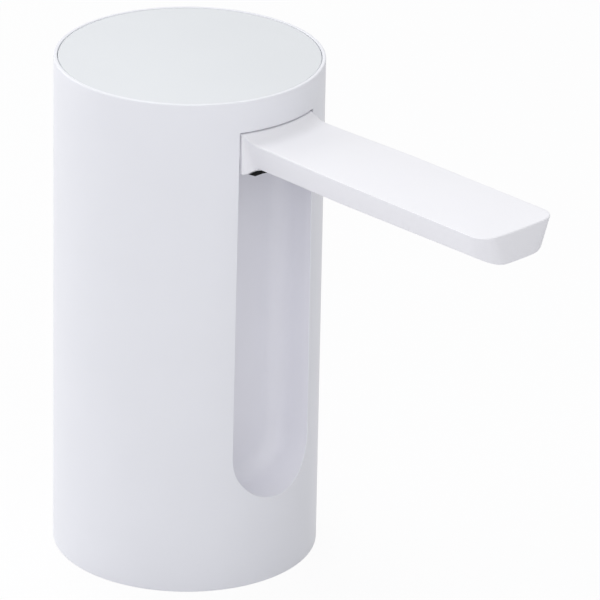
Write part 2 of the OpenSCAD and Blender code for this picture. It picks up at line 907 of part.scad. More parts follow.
module pump_body() {
  color(ivory) difference() {
    union() {
      translate([0, 0, pump_z]) linear_extrude(pump_top - pump_z) pump_outline();
      disc(barb_r, pump_top - small, pump_top + nipple_l + 1, [riser_x, 0]);
    }
    for (y = [motor_y, idler_y]) disc(chamber_r, pump_z - 1, pump_z + chamber_h, [motor_x, y]);
    for (s = [-1, 1]) disc(port_r, pump_z - 1, pump_z + chamber_h, [motor_x + s * port_at, 0]);
    rod_x(channel_r, motor_x + port_at, riser_x, 0, channel_z);
    disc(barb_bore, channel_z, body_h, [riser_x, 0]);
    disc(shaft_r + shaft_clear, pump_z, pump_top + 1, [motor_x, motor_y]);
    disc(seal_r + seat_gap, pump_top - seal_h, pump_top + 1, [motor_x, motor_y]);
    disc(shaft_r + seat_gap, pump_z, pump_top - blind_roof, [motor_x, idler_y]);
    for (p = pump_screw_at) disc(pump_shank_r + hole_gap, pump_z - 1, pump_top + 1, p);
    for (p = motor_screw_at) {
      disc(motor_shank_r + hole_gap, pump_z - 1, pump_top + 1, p);
      disc(motor_head_r + hole_gap, pump_z - 1, pump_z + motor_head_h + hole_gap, p);
    }
  }
}

module pump_cover() {
  color(ivory) difference() {
    translate([0, 0, cover_z]) linear_extrude(pump_cover_t) pump_outline();
    disc(stub_r + fit, 0, body_h, [well_x, 0]);
    disc(shaft_r + run_gap, cover_z + blind_floor, body_h, [motor_x, motor_y]);
    disc(shaft_r + seat_gap, cover_z + blind_floor, body_h, [motor_x, idler_y]);
    for (p = pump_screw_at) disc(pump_shank_r + hole_gap, 0, body_h, p);
  }
}

module pump_gasket() {
  color(black) difference() {
    translate([0, 0, pump_z - gasket_t]) linear_extrude(gasket_t) pump_outline();
    for (y = [motor_y, idler_y]) disc(chamber_r, 0, body_h, [motor_x, y]);
    for (s = [-1, 1]) disc(port_r, 0, body_h, [motor_x + s * port_at, 0]);
    disc(stub_r + fit, 0, body_h, [well_x, 0]);
    for (p = pump_screw_at) disc(pump_shank_r + hole_gap, 0, body_h, p);
  }
}

module shaft_seal() {
  color(black) tube(seal_r, shaft_r + run_gap, pump_top - seal_h, pump_top - end_gap, [motor_x, motor_y]);
}

module pump_screws() {
  color(steel) for (p = pump_screw_at)
    screw(p, pump_top, pump_head_r, pump_head_h, pump_shank_r, pump_top - deck_z - end_gap);
}

// Motor

module motor_can() {
  color(steel) difference() {
    disc(motor_r, motor_z, motor_top, [motor_x, motor_y]);
    disc(motor_r - can_t, motor_z + can_t, motor_top + 1, [motor_x, motor_y]);
    disc(bush_r + seat_gap, motor_z - 1, motor_top, [motor_x, motor_y]);
    for (p = motor_screw_at) disc(motor_shank_r + seat_gap, motor_z - 1, motor_z + motor_screw_reach + 1, p);
  }
}

module motor_bushes() {
  color("#c08a4a") {
    tube(bush_r, shaft_r + run_gap, motor_z, motor_z + bush_h, [motor_x, motor_y]);
    tube(bush_r, shaft_r + run_gap, motor_top - cap_t, motor_top, [motor_x, motor_y]);
  }
}

module motor_magnets() {
  color("#3a3d42") for (a = [-60, 120]) translate([motor_x, motor_y, motor_z + magnet_low])
    rotate([0, 0, a]) rotate_extrude(angle = 120)
      translate([magnet_r - magnet_t, 0]) square([magnet_t, magnet_h]);
}

module armature() {
  core_z = motor_z + core_low;
  core_top = core_z + core_h;
  color("#8d5a3b") translate([motor_x, motor_y, 0]) difference() {
    union() {
      disc(armature_r, core_z, core_top);
      disc(winding_r, core_z - winding_out, core_top + winding_out);
      disc(shaft_r + commutator_t, core_z, core_top + commutator_h);
    }
    for (a = [0:72:288]) rotate([0, 0, a])
      block([winding_r + small, -slot_w / 2, core_z - 1], [armature_r + 1, slot_w / 2, core_top + 1]);
    disc(shaft_r + seat_gap, 0, body_h);
  }
}

module motor_shaft() {
  color(steel) disc(shaft_r, cover_z + blind_floor + shaft_clear, motor_top + shaft_out, [motor_x, motor_y]);
}

module motor_end_cap() {
  color(black) difference() {
    union() {
      disc(motor_r - can_t - fit, motor_top - cap_t, motor_top, [motor_x, motor_y]);
      disc(motor_r, motor_top, terminal_z, [motor_x, motor_y]);
    }
    disc(bush_r + seat_gap, motor_top - cap_t - 1, motor_top, [motor_x, motor_y]);
    disc(shaft_r + shaft_clear, 0, body_h, [motor_x, motor_y]);
  }
}

module motor_terminals() {
  color("#c9a24a") for (p = motor_lead_at)
    block([p[0] - terminal_t / 2, p[1] - terminal_w / 2, terminal_z],
      [p[0] + terminal_t / 2, p[1] + terminal_w / 2, terminal_top]);
}

module motor_screws() {
  color(steel) for (p = motor_screw_at) translate([0, 0, pump_z + motor_head_h]) mirror([0, 0, 1])
    screw(p, 0, motor_head_r, motor_head_h, motor_shank_r,
      pump_top - pump_z - motor_head_h + motor_screw_reach);
}

module motor_leads() {
  color("#c23a30") for (p = motor_lead_at) disc(lead_r, terminal_top, board_z, p);
}

// Battery

module battery_cell() {
  color("#5f8fb5") {
    disc(cell_r, cell_z, cell_top - nub_h, [cell_x, cell_y]);
    disc(nub_r, cell_top - nub_h - small, cell_top, [cell_x, cell_y]);
  }
}

// Trough around the cell, open to one side, on a foot that stands on the lower deck
module cell_cradle() {
  r_in = cell_r + cradle_gap;
  color(ivory) difference() {
    union() {
      disc(r_in + cradle_t, cradle_z, cell_top + contact_t + cradle_floor, [cell_x, cell_y]);
      block([cell_x - cradle_foot / 2, pump_y1 + 0.6, deck_top],
        [cell_x + cradle_foot / 2, cell_y + cradle_foot / 2, cradle_z + small]);
    }
    disc(r_in, cradle_z + cradle_floor, cell_top + contact_t, [cell_x, cell_y]);
    translate([cell_x, cell_y, 0]) rotate([0, 0, cradle_turn])
      block([cradle_open, -cell_d, cradle_z + cradle_floor], [cell_d, cell_d, cell_top + contact_t]);
    disc(lead_r + lead_gap, cell_top, body_h, [cell_x, cell_y]);
    block([cell_x, cell_y - strip_w / 2 - strip_gap, cell_z - contact_t],
      [lead_x + 2, cell_y + strip_w / 2 + strip_gap, cell_z + 1]);
  }
}

module cell_contacts() {
  color("#d5d7da") {
    disc(nub_r + 1, cell_top, cell_top + contact_t, [cell_x, cell_y]);
    disc(nub_r + 1, cell_z - contact_t, cell_z, [cell_x, cell_y]);
    block([cell_x, cell_y - strip_w / 2, cell_z - contact_t], [lead_x + 1, cell_y + strip_w / 2, cell_z]);
  }
}

module battery_leads() {
  color("#c23a30") disc(lead_r, cell_top + contact_t, board_z, [cell_x, cell_y]);
  color(black) disc(lead_r, cell_z, board_z, [lead_x, cell_y]);
}

// Charging

module charge_board() {
  color("#2f6b46") difference() {
    block([charge_x0, -charge_hw, charge_z], [charge_x1, charge_hw, charge_top]);
    for (p = charge_screw_at) disc(small_shank_r + hole_gap, 0, body_h, p);
  }
}

module usb_socket() {
  color(steel) difference() {
    run_x(usb_x0, usb_x0 + usb_l)
      rounded_square([-usb_w / 2, charge_top], [usb_w / 2, charge_top + usb_h], usb_h / 2 - small);
    run_x(usb_x0 - 1, usb_x0 + usb_l - usb_back)
      rounded_square([-usb_w / 2 + usb_wall, charge_top + usb_wall],
        [usb_w / 2 - usb_wall, charge_top + usb_h - usb_wall], usb_h / 2 - usb_wall - small);
  }
  color(black) block([usb_x0 + usb_back, -usb_w / 2 + tongue_in, usb_z - tongue_t / 2],
    [usb_x0 + usb_l - usb_back, usb_w / 2 - tongue_in, usb_z + tongue_t / 2]);
}

module status_led() {
  color("#e9efe6") block([led_x, led_y - led_w / 2, charge_top],
    [led_x + led_w, led_y + led_w / 2, usb_z + led_w / 2]);
}

module light_pipe() {
  color("#dfe7ea") rod_x(pipe_r, pipe_x0, led_x - end_gap, led_y, usb_z);
}

module charge_leads() {
  color(black) for (p = charge_lead_at) disc(lead_r, charge_top, board_z, p);
}

// Control

module main_board() {
  color("#2f6b46") difference() {
    disc(main_r, board_z, main_top);
    for (p = standoff_at) disc(small_shank_r + hole_gap, 0, body_h, p);
    for (p = tab_screw_at) disc(small_head_r + hole_gap, 0, body_h, p);
  }
}

module board_parts() {
  color(black) for (c = components) translate([c[0][0], c[0][1], main_top]) cube(c[1]);
}

module tact_switch() {
  color(black) block([-tact_w / 2, -tact_w / 2, main_top], [tact_w / 2, tact_w / 2, main_top + tact_h]);
  color(steel) disc(stem_r, main_top + tact_h - small, stem_top);
}

module return_pads() {
  color(clear_rubber) for (a = pad_angles)
    disc(pad_r, main_top, key_bottom, [pad_at * cos(a), pad_at * sin(a)]);
}

outer_shell();
recess_liner();
top_key();
arm_shell();
arm_cover();
heel_bumper();
hinge_pins();
friction_washers();
outlet_nozzle();
flow_straightener();
arm_tube();
hose_joiner();
hinge_hose();
wall_fitting();
delivery_tube();
base_cup();
foot_ring();
neck_seal();
suction_spigot();
inlet_seal();
spigot_nut();
chassis();
deck_screws();
small_screws();
pump_body();
pump_cover();
pump_gasket();
shaft_seal();
drive_gear();
idler_gear();
idler_pin();
pump_screws();
motor_can();
motor_magnets();
armature();
motor_shaft();
motor_bushes();
motor_end_cap();
motor_terminals();
motor_screws();
motor_leads();
battery_cell();
cell_cradle();
cell_contacts();
battery_leads();
charge_board();
usb_socket();
status_led();
light_pipe();
charge_leads();
main_board();
board_parts();
tact_switch();
return_pads();
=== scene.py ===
"""Looks of an electric water jug pump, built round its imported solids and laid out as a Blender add-on.

Everything is in metres in the part's own frame: +Z up, the level spout towards +X, the base on z = 0.
"""

import json
import math

import bmesh
import bpy
from mathutils import Matrix, Vector


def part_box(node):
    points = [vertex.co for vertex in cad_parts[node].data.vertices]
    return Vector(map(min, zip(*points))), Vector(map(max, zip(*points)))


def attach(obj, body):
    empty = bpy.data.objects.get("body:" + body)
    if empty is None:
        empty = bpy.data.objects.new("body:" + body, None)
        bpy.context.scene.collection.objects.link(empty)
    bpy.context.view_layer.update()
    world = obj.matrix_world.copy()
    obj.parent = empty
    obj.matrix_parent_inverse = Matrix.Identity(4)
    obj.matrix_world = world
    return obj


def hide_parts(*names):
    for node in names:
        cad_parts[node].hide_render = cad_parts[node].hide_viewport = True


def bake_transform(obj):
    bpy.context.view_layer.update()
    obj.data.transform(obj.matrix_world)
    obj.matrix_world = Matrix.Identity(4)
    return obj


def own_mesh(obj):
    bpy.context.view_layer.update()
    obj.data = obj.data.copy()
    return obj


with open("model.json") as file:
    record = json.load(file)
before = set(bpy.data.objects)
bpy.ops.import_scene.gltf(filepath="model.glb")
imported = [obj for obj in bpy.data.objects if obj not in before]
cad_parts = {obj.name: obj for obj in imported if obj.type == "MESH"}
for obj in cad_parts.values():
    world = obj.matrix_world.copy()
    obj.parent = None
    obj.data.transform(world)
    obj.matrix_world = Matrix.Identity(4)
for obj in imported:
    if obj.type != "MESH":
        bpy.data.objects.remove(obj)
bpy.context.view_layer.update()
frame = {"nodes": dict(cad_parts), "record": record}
MM = 0.001

bl_info = {
    "name": "Electric water jug pump",
    "version": (1, 0, 0),
    "blender": (4, 5, 0),
    "location": "View3D > Sidebar > Jug pump",
    "description": "Moulded shells, soft hoses, seals and finishes of a folding jug pump",
    "category": "Add Mesh",
}

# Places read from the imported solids
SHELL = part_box("outer_shell")[1]
BODY_R = SHELL.y
BODY_H = SHELL.z
KEY_LOW, KEY_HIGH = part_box("top_key")
LINER_LOW, LINER_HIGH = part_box("recess_liner")
PORT_LOW, PORT_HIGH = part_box("usb_socket")
LIGHT_LOW, LIGHT_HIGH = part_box("light_pipe")
ARM_LOW, ARM_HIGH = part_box("arm_shell")
COVER_LOW, COVER_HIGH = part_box("arm_cover")
HOSE_LOW, HOSE_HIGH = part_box("hinge_hose")
PIN_LOW, PIN_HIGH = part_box("hinge_pins")
HINGE = (PIN_LOW + PIN_HIGH) / 2
PLATE_RISE = 1.8 * MM
ARM_TOP = ARM_HIGH.z - PLATE_RISE
ARM_BOTTOM = COVER_LOW.z


def linear(code):
    """Turn an sRGB hex colour into linear red, green and blue."""
    shares = [int(code[i:i + 2], 16) / 255 for i in (1, 3, 5)]
    return tuple(s / 12.92 if s <= 0.04045 else ((s + 0.055) / 1.055) ** 2.4 for s in shares)


def colour(name, description, code):
    """A colour setting whose default is an sRGB hex value."""
    return bpy.props.FloatVectorProperty(name=name, description=description, subtype="COLOR", size=3,
                                         min=0.0, max=1.0, default=linear(code))


def length(name, description, millimetres):
    """A length setting whose default is given in millimetres."""
    return bpy.props.FloatProperty(name=name, description=description, unit="LENGTH",
                                   default=millimetres * MM, precision=5)


def angle(name, description, degrees):
    """An angle setting whose default is given in degrees."""
    return bpy.props.FloatProperty(name=name, description=description, unit="ROTATION",
                                   default=math.radians(degrees))


def strength(name, description, share):
    """A light setting: 1 lights a facing white surface to full white."""
    return bpy.props.FloatProperty(name=name, description=description, min=0.0, default=share)


class JugPumpSizes(bpy.types.PropertyGroup):
    """Sizes of the modelled pieces that the solids do not give."""

    shell_wall: length("Shell wall", "Thickness of the outer shell", 2.2)
    rim_width: length("Rim width", "Width of the rim round the press key", 1.0)
    rim_round: length("Rim rounding", "Rounding of the rim's edges", 0.35)
    ledge_drop: length("Ledge drop", "Depth of the press key's seat under the rim", 3.0)
    foot_round: length("Foot rounding", "Rounding of the shell's lower edge", 0.5)
    liner_wall: length("Liner wall", "Thickness of the recess liner", 1.6)
    window_round: length("Window rounding", "Rounding of the window's edge", 0.25)
    window_corner: length("Window corner", "Corner radius at the window's top", 0.3)
    window_trim: length("Window trim", "How far the shell's edge stands in front of the liner's", 0.05)
    window_taper: length("Window taper", "How much the window narrows up to its top, on each side", 0.6)
    port_gap: length("Port gap", "Gap round the charging socket", 0.3)
    key_thick: length("Key thickness", "Thickness of the press key's disc", 2.1)
    key_round: length("Key rounding", "Rounding of the press key's edge", 0.3)
    skirt_in: length("Skirt inset", "How far the key's skirt stands in from its edge", 1.2)
    skirt_wall: length("Skirt wall", "Thickness of the key's skirt", 1.2)
    skirt_drop: length("Skirt drop", "Depth of the key's skirt", 2.4)
    leg_in: length("Leg inner radius", "Inner radius of the key's guide legs", 30.0)
    leg_out: length("Leg outer radius", "Outer radius of the key's guide legs", 32.0)
    arm_draft: angle("Arm draft", "Slope of the spout arm's sides", 16.0)
    arm_top_round: length("Arm top rounding", "Rounding of the long edges of the arm's top", 0.12)
    tip_edge: length("Tip edge", "Rounding of the tip's upper edge", 0.4)
    root_round: length("Root rounding", "Rounding of the arm's upper edges beside its root", 0.35)
    arm_crown: length("Arm crown", "Rise of the arm's top between its long edges", 0.45)
    crown_run: length("Crown run", "Length over which the crown rises from root and tip", 15.0)
    arm_lower_round: length("Arm lower rounding", "Rounding of the arm's lower edges", 0.8)
    root_lift: length("Root lift", "Height of the side's lower edge above the underside at the root", 1.25)
    tip_lift: length("Tip lift", "Height of the side's lower edge above the underside at the tip", 2.4)
    end_lift: length("End lift", "How far the end's lower edge lies above the underside", 0.2)
    end_bow: angle("End bow", "How far the tip's bowed end turns from its middle to its corners", 3.5)
    belly_half: length("Belly half width", "Half of the width of the flat underside", 7.45)
    belly_end: length("Belly end", "How far the flat underside stops short of the tip", 2.5)
    arm_end_round: length("Arm end rounding", "Rounding of the lower edge at the tip", 0.5)
    arm_tip_round: length("Tip corner", "Corner radius of the tip seen from above, at the top", 5.0)
    arm_tip_low_round: length("Tip lower corner", "Corner radius of the tip from above, at the foot", 7.8)
    arm_wall: length("Arm wall", "Thickness of the spout arm's wall", 1.8)
    plate_sink: length("Plate sink", "How far the root plate lies under the body's surface", 0.05)
    plate_depth: length("Plate depth", "Thickness of the root plate", 2.7)
    plate_corner: length("Plate corner", "Corner radius of the root plate", 0.45)
    plate_trim: length("Plate trim", "How much narrower than the arm the root plate is, on each side", 0.85)
    plate_lift: length("Plate lift", "How far the root plate ends above the solid's lower edge", 0.1)
    plate_drop: length("Plate drop", "How far the root plate's top lies under the solid's", 0.2)
    flare_reach: length("Flare reach", "How far the root's flare runs out along the arm's top", 5.5)
    side_flare: length("Side flare", "How far the root's flare runs out along the arm's sides", 2.2)
    low_flare: length("Low flare", "How far the root's flare runs out along the arm's underside", 0.5)
    gusset_run: length("Gusset run", "Length in which the sides' lower edge rises from the plate's foot", 3.1)
    cover_half: length("Cover half width", "Half of the width of the cover under the arm", 7.0)
    cover_corner: length("Cover corner", "Corner radius of the cover at the tip", 5.0)
    cover_gap: length("Cover gap", "Gap round the cover under the arm", 0.12)
    hose_gap: length("Hose gap", "Gap round the hose where it enters the arm", 0.3)
    eye_radius: length("Hinge eye radius", "Outer radius of the hinge eyes", 5.0)
    eye_from: length("Hinge eye start", "Where each hinge eye starts, from the middle", 5.0)
    lip_front: length("Heel lip front", "Distance of the black lip's front from the body's axis", 37.4)
    lip_thin: length("Heel lip edge", "Thickness of the black lip's thin edges", 0.3)
    lip_rise: length("Heel lip rise", "How far the black lip's front stands up before the root plate", 1.1)
    heel_half: length("Heel half width", "Half of the width of the thick heel in the lip's middle", 6.0)
    hose_bore: length("Hose bore", "Inner radius of the water hoses", 1.75)
    elbow: length("Elbow radius", "Bend radius of the delivery hose", 8.0)
    nozzle_bore: length("Nozzle bore", "Inner radius of the outlet nozzle", 3.2)
    key_travel: length("Key travel", "How far the press key goes down", 0.7)
    pad_radius: length("Pad radius", "Radius of each return pad", 2.5)
    pad_circle: length("Pad circle", "Distance of the return pads from the axis", 18.0)


class JugPumpColours(bpy.types.PropertyGroup):
    """Colours of the finishes."""

    body: colour("Body", "White of the body shell", "#EAEBF0")
    # The recess's white is lighter than the body's: painted light that stands in for the light in the recess
    liner: colour("Recess", "White of the recess liner", "#EDEDF3")
    key: colour("Press key", "Cool grey white of the press key", "#DDE0E3")
    arm: colour("Spout", "White of the spout", "#EDEDF1")
    rubber: colour("Rubber", "Black of the seals and the heel lip", "#080809")
    nylon: colour("Nylon", "Black of the nylon parts", "#26272A")
    steel: colour("Steel", "Bright zinc on steel", "#C9CBCE")
    silicone: colour("Silicone", "Milky white of the hoses and pads", "#E9ECEE")
    acetal: colour("Acetal", "Ivory of the nozzle and gears", "#E9E6DC")


class JugPumpStage(bpy.types.PropertyGroup):
    """Camera and light."""

    azimuth: angle("Azimuth", "Direction that the camera looks from", 45.669)
    elevation: angle("Elevation", "Height of the camera above the horizon", 23.782)
    roll: angle("Roll", "Tilt of the picture", 1.143)
    distance: length("Distance", "Camera's distance from the point that it looks at", 1549.915)
    aim_height: length("Aim height", "Height of the point that the camera looks at", 72.419)
    aim_right: length("Aim right", "How far right of the axis the camera looks", 31.189)
    lens: bpy.props.FloatProperty(name="Lens", description="Focal length on a 36 mm sensor",
                                  unit="CAMERA", default=336.447)
    sky: strength("Sky", "Even light from all round", 0.51)
    top_lamp: strength("Top lamp", "Light from the soft lamp above and behind", 0.26)
    side_lamp: strength("Side lamp", "Light from the soft lamp on the left", 0.415)
    front_lamp: strength("Front lamp", "Light from the soft lamp beside the camera", 0.136)
    high_lamp: strength("High lamp", "Light from the near soft lamp above the front", 0.286)


def spread(start, stop, count):
    """Evenly spaced values from start to stop, both ends included."""
    return [start + (stop - start) * i / count for i in range(count + 1)]


def mix(a, b, share):
    """A value between a and b."""
    return a + (b - a) * share


def ramp(share):
    """A smooth rise from 0 to 1, flat before 0 and after 1."""
    share = min(1.0, max(0.0, share))
    return share ** 2 * (3 - 2 * share)


def eased(corners, steps=4):
    """Points of a closed outline whose corners, given as (u, v, radius), are rounded by arcs."""
    outline = []
    for i, (u, v, radius) in enumerate(corners):
        if radius <= 0:
            outline.append((u, v))
            continue
        here = Vector((u, v))
        back = (Vector(corners[i - 1][:2]) - here).normalized()
        ahead = (Vector(corners[(i + 1) % len(corners)][:2]) - here).normalized()
        half = back.angle(ahead) / 2
        centre = here + (back + ahead).normalized() * (radius / math.sin(half))
        first = here + back * (radius / math.tan(half)) - centre
        last = here + ahead * (radius / math.tan(half)) - centre
        begin = math.atan2(first.y, first.x)
        turn = math.remainder(math.atan2(last.y, last.x) - begin, math.tau)
        for bearing in spread(begin, begin + turn, steps):
            outline.append((centre.x + radius * math.cos(bearing), centre.y + radius * math.sin(bearing)))
    return outline


def add_rings(points, faces, rings, looped=False):
    """Append a skin through closed rings of places, capped at both ends or looped back to its start."""
    start = len(points)
    count = len(rings[0])
    for ring in rings:
        points.extend(ring)
    for r in range(len(rings) if looped else len(rings) - 1):
        here = start + r * count
        ahead = start + (r + 1) % len(rings) * count
        for k in range(count):
            m = (k + 1) % count
            faces.append((here + k, ahead + k, ahead + m, here + m))
    if not looped:
        faces.append(tuple(range(start, start + count)))
        faces.append(tuple(range(len(points) - count, len(points))))


def skinned(rings, looped=False):
    """Points and faces of one skin through closed rings."""
    points = []
    faces = []
    add_rings(points, faces, rings, looped)
    return points, faces


def add_grid(points, faces, rows):
    """Append a sheet of four-sided faces through rows of places."""
    start = len(points)
    wide = len(rows[0])
    for row in rows:
        points.extend(row)
    for r in range(len(rows) - 1):
        for c in range(wide - 1):
            here = start + r * wide + c
            faces.append((here, here + 1, here + wide + 1, here + wide))


def turned(profile, bearing, centre=(0.0, 0.0)):
    """Places of a (radius, height) profile at a bearing round a vertical line."""
    east = math.cos(bearing)
    north = math.sin(bearing)
    return [(centre[0] + radius * east, centre[1] + radius * north, height) for radius, height in profile]


def lathe(profile, steps, centre=(0.0, 0.0)):
    """Turn a closed (radius, height) profile about a vertical line."""
    return skinned([turned(profile, math.tau * s / steps, centre) for s in range(steps)], looped=True)


def rod(radius, start, stop, steps, centre=(0.0, 0.0), ease=0.0):
    """An upright round rod with eased ends."""
    profile = [(0, start, 0), (radius, start, ease), (radius, stop, ease), (0, stop, 0)]
    return lathe(eased(profile), steps, centre)


def prism(outline, low, high, ease=0.0):
    """An upright block on a closed (x, y) outline, with eased upper and lower edges."""
    lows = [min(p[k] for p in outline) for k in (0, 1)]
    highs = [max(p[k] for p in outline) for k in (0, 1)]
    middle = [(a + b) / 2 for a, b in zip(lows, highs)]
    half = [(b - a) / 2 for a, b in zip(lows, highs)]
    arc = spread(0.0, math.pi / 2, 4) if ease else [math.pi / 2]
    levels = [(ease * (1 - math.sin(a)), low + ease * (1 - math.cos(a))) for a in arc]
    levels += [(inset, high + low - z) for inset, z in reversed(levels)]
    rings = []
    for inset, z in levels:
        wide, deep = [1 - inset / h for h in half]
        rings.append([(mix(middle[0], x, wide), mix(middle[1], y, deep), z) for x, y in outline])
    return skinned(rings)


def rectangle(low, high, corner):
    """A closed (x, y) outline with round corners."""
    return eased([(low[0], low[1], corner), (high[0], low[1], corner), (high[0], high[1], corner),
                  (low[0], high[1], corner)])


def lay_along_y(shape, x, z):
    """Turn a shape that was made round the vertical so that it goes round a line along Y."""
    points, faces = shape
    return [(x + a, c, z + b) for a, b, c in points], faces


def lay_along_x(shape, y, z):
    """Turn a shape that was made round the vertical so that it goes round a line along X."""
    points, faces = shape
    return [(c, y + a, z + b) for a, b, c in points], faces


def make_mesh(name, points, faces):
    """A mesh object with shared points and outward faces."""
    mesh = bpy.data.meshes.new(name)
    mesh.from_pydata(points, [], faces)
    shape = bmesh.new()
    shape.from_mesh(mesh)
    bmesh.ops.remove_doubles(shape, verts=shape.verts, dist=1e-7)
    bmesh.ops.recalc_face_normals(shape, faces=shape.faces)
    shape.to_mesh(mesh)
    shape.free()
    item = bpy.data.objects.new(name, mesh)
    bpy.context.scene.collection.objects.link(item)
    return item


def combine(item, how, shape):
    """Join a closed shape to a closed item, or cut it out of the item."""
    tool = make_mesh("tool", *shape)
    step = item.modifiers.new(how, "BOOLEAN")
    step.operation = how
    step.solver = "EXACT"
    step.object = tool
    graph = bpy.context.evaluated_depsgraph_get()
    mesh = bpy.data.meshes.new_from_object(item.evaluated_get(graph))
    item.modifiers.clear()
    item.data = mesh
    bpy.data.objects.remove(tool)


def dress(item, body, slot, *nodes, crease=35.0):
    """Shade a piece, give it its slot's finish, and let it ride on a body in place of solids."""
    item.data.shade_smooth()
    item.data.set_sharp_from_angle(angle=math.radians(crease))
    item.data.materials.clear()
    item.data.materials.append(finish(slot, bpy.context.scene.jug_pump_colours))
    if body:
        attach(item, body)
    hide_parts(*nodes)
    return item


def add_node(tree, kind, inputs=None, **settings):
    """Add a node with its settings, and fill its inputs with values or links."""
    node = tree.nodes.new(kind)
    for key, value in settings.items():
        setattr(node, key, value)
    for key, value in (inputs or {}).items():
        if isinstance(value, bpy.types.NodeSocket):
            tree.links.new(value, node.inputs[key])
        else:
            node.inputs[key].default_value = value
    return node


# Texture kinds, with the output that each pattern uses
CLOUDS = ("ShaderNodeTexNoise", "Fac")
CELLS = ("ShaderNodeTexVoronoi", "Distance")
BANDS = ("ShaderNodeTexWave", "Fac")
COURSES = ("ShaderNodeTexBrick", "Fac")
# How much fine detail a cloud pattern has
BLURRED = {"Detail": 1.0}
SOFT = {"Detail": 2.0}
FINE = {"Detail": 3.0}
CRISP = {"Detail": 4.0}
# A wave texture runs through this many bands in one unit of its scale
WAVE_BANDS = 20 / math.tau
# Size in mm of a feature so long that a pattern is even that way
EVEN = 1e6
SHEETS = (BANDS, (EVEN, EVEN, 1.0 * WAVE_BANDS), {"Distortion": 0.0})
TRACKS = (COURSES, 8, {"Mortar Size": 0.05})
# Most of a pattern's values lie between these
PATTERN_LOW, PATTERN_HIGH = 0.3, 0.7

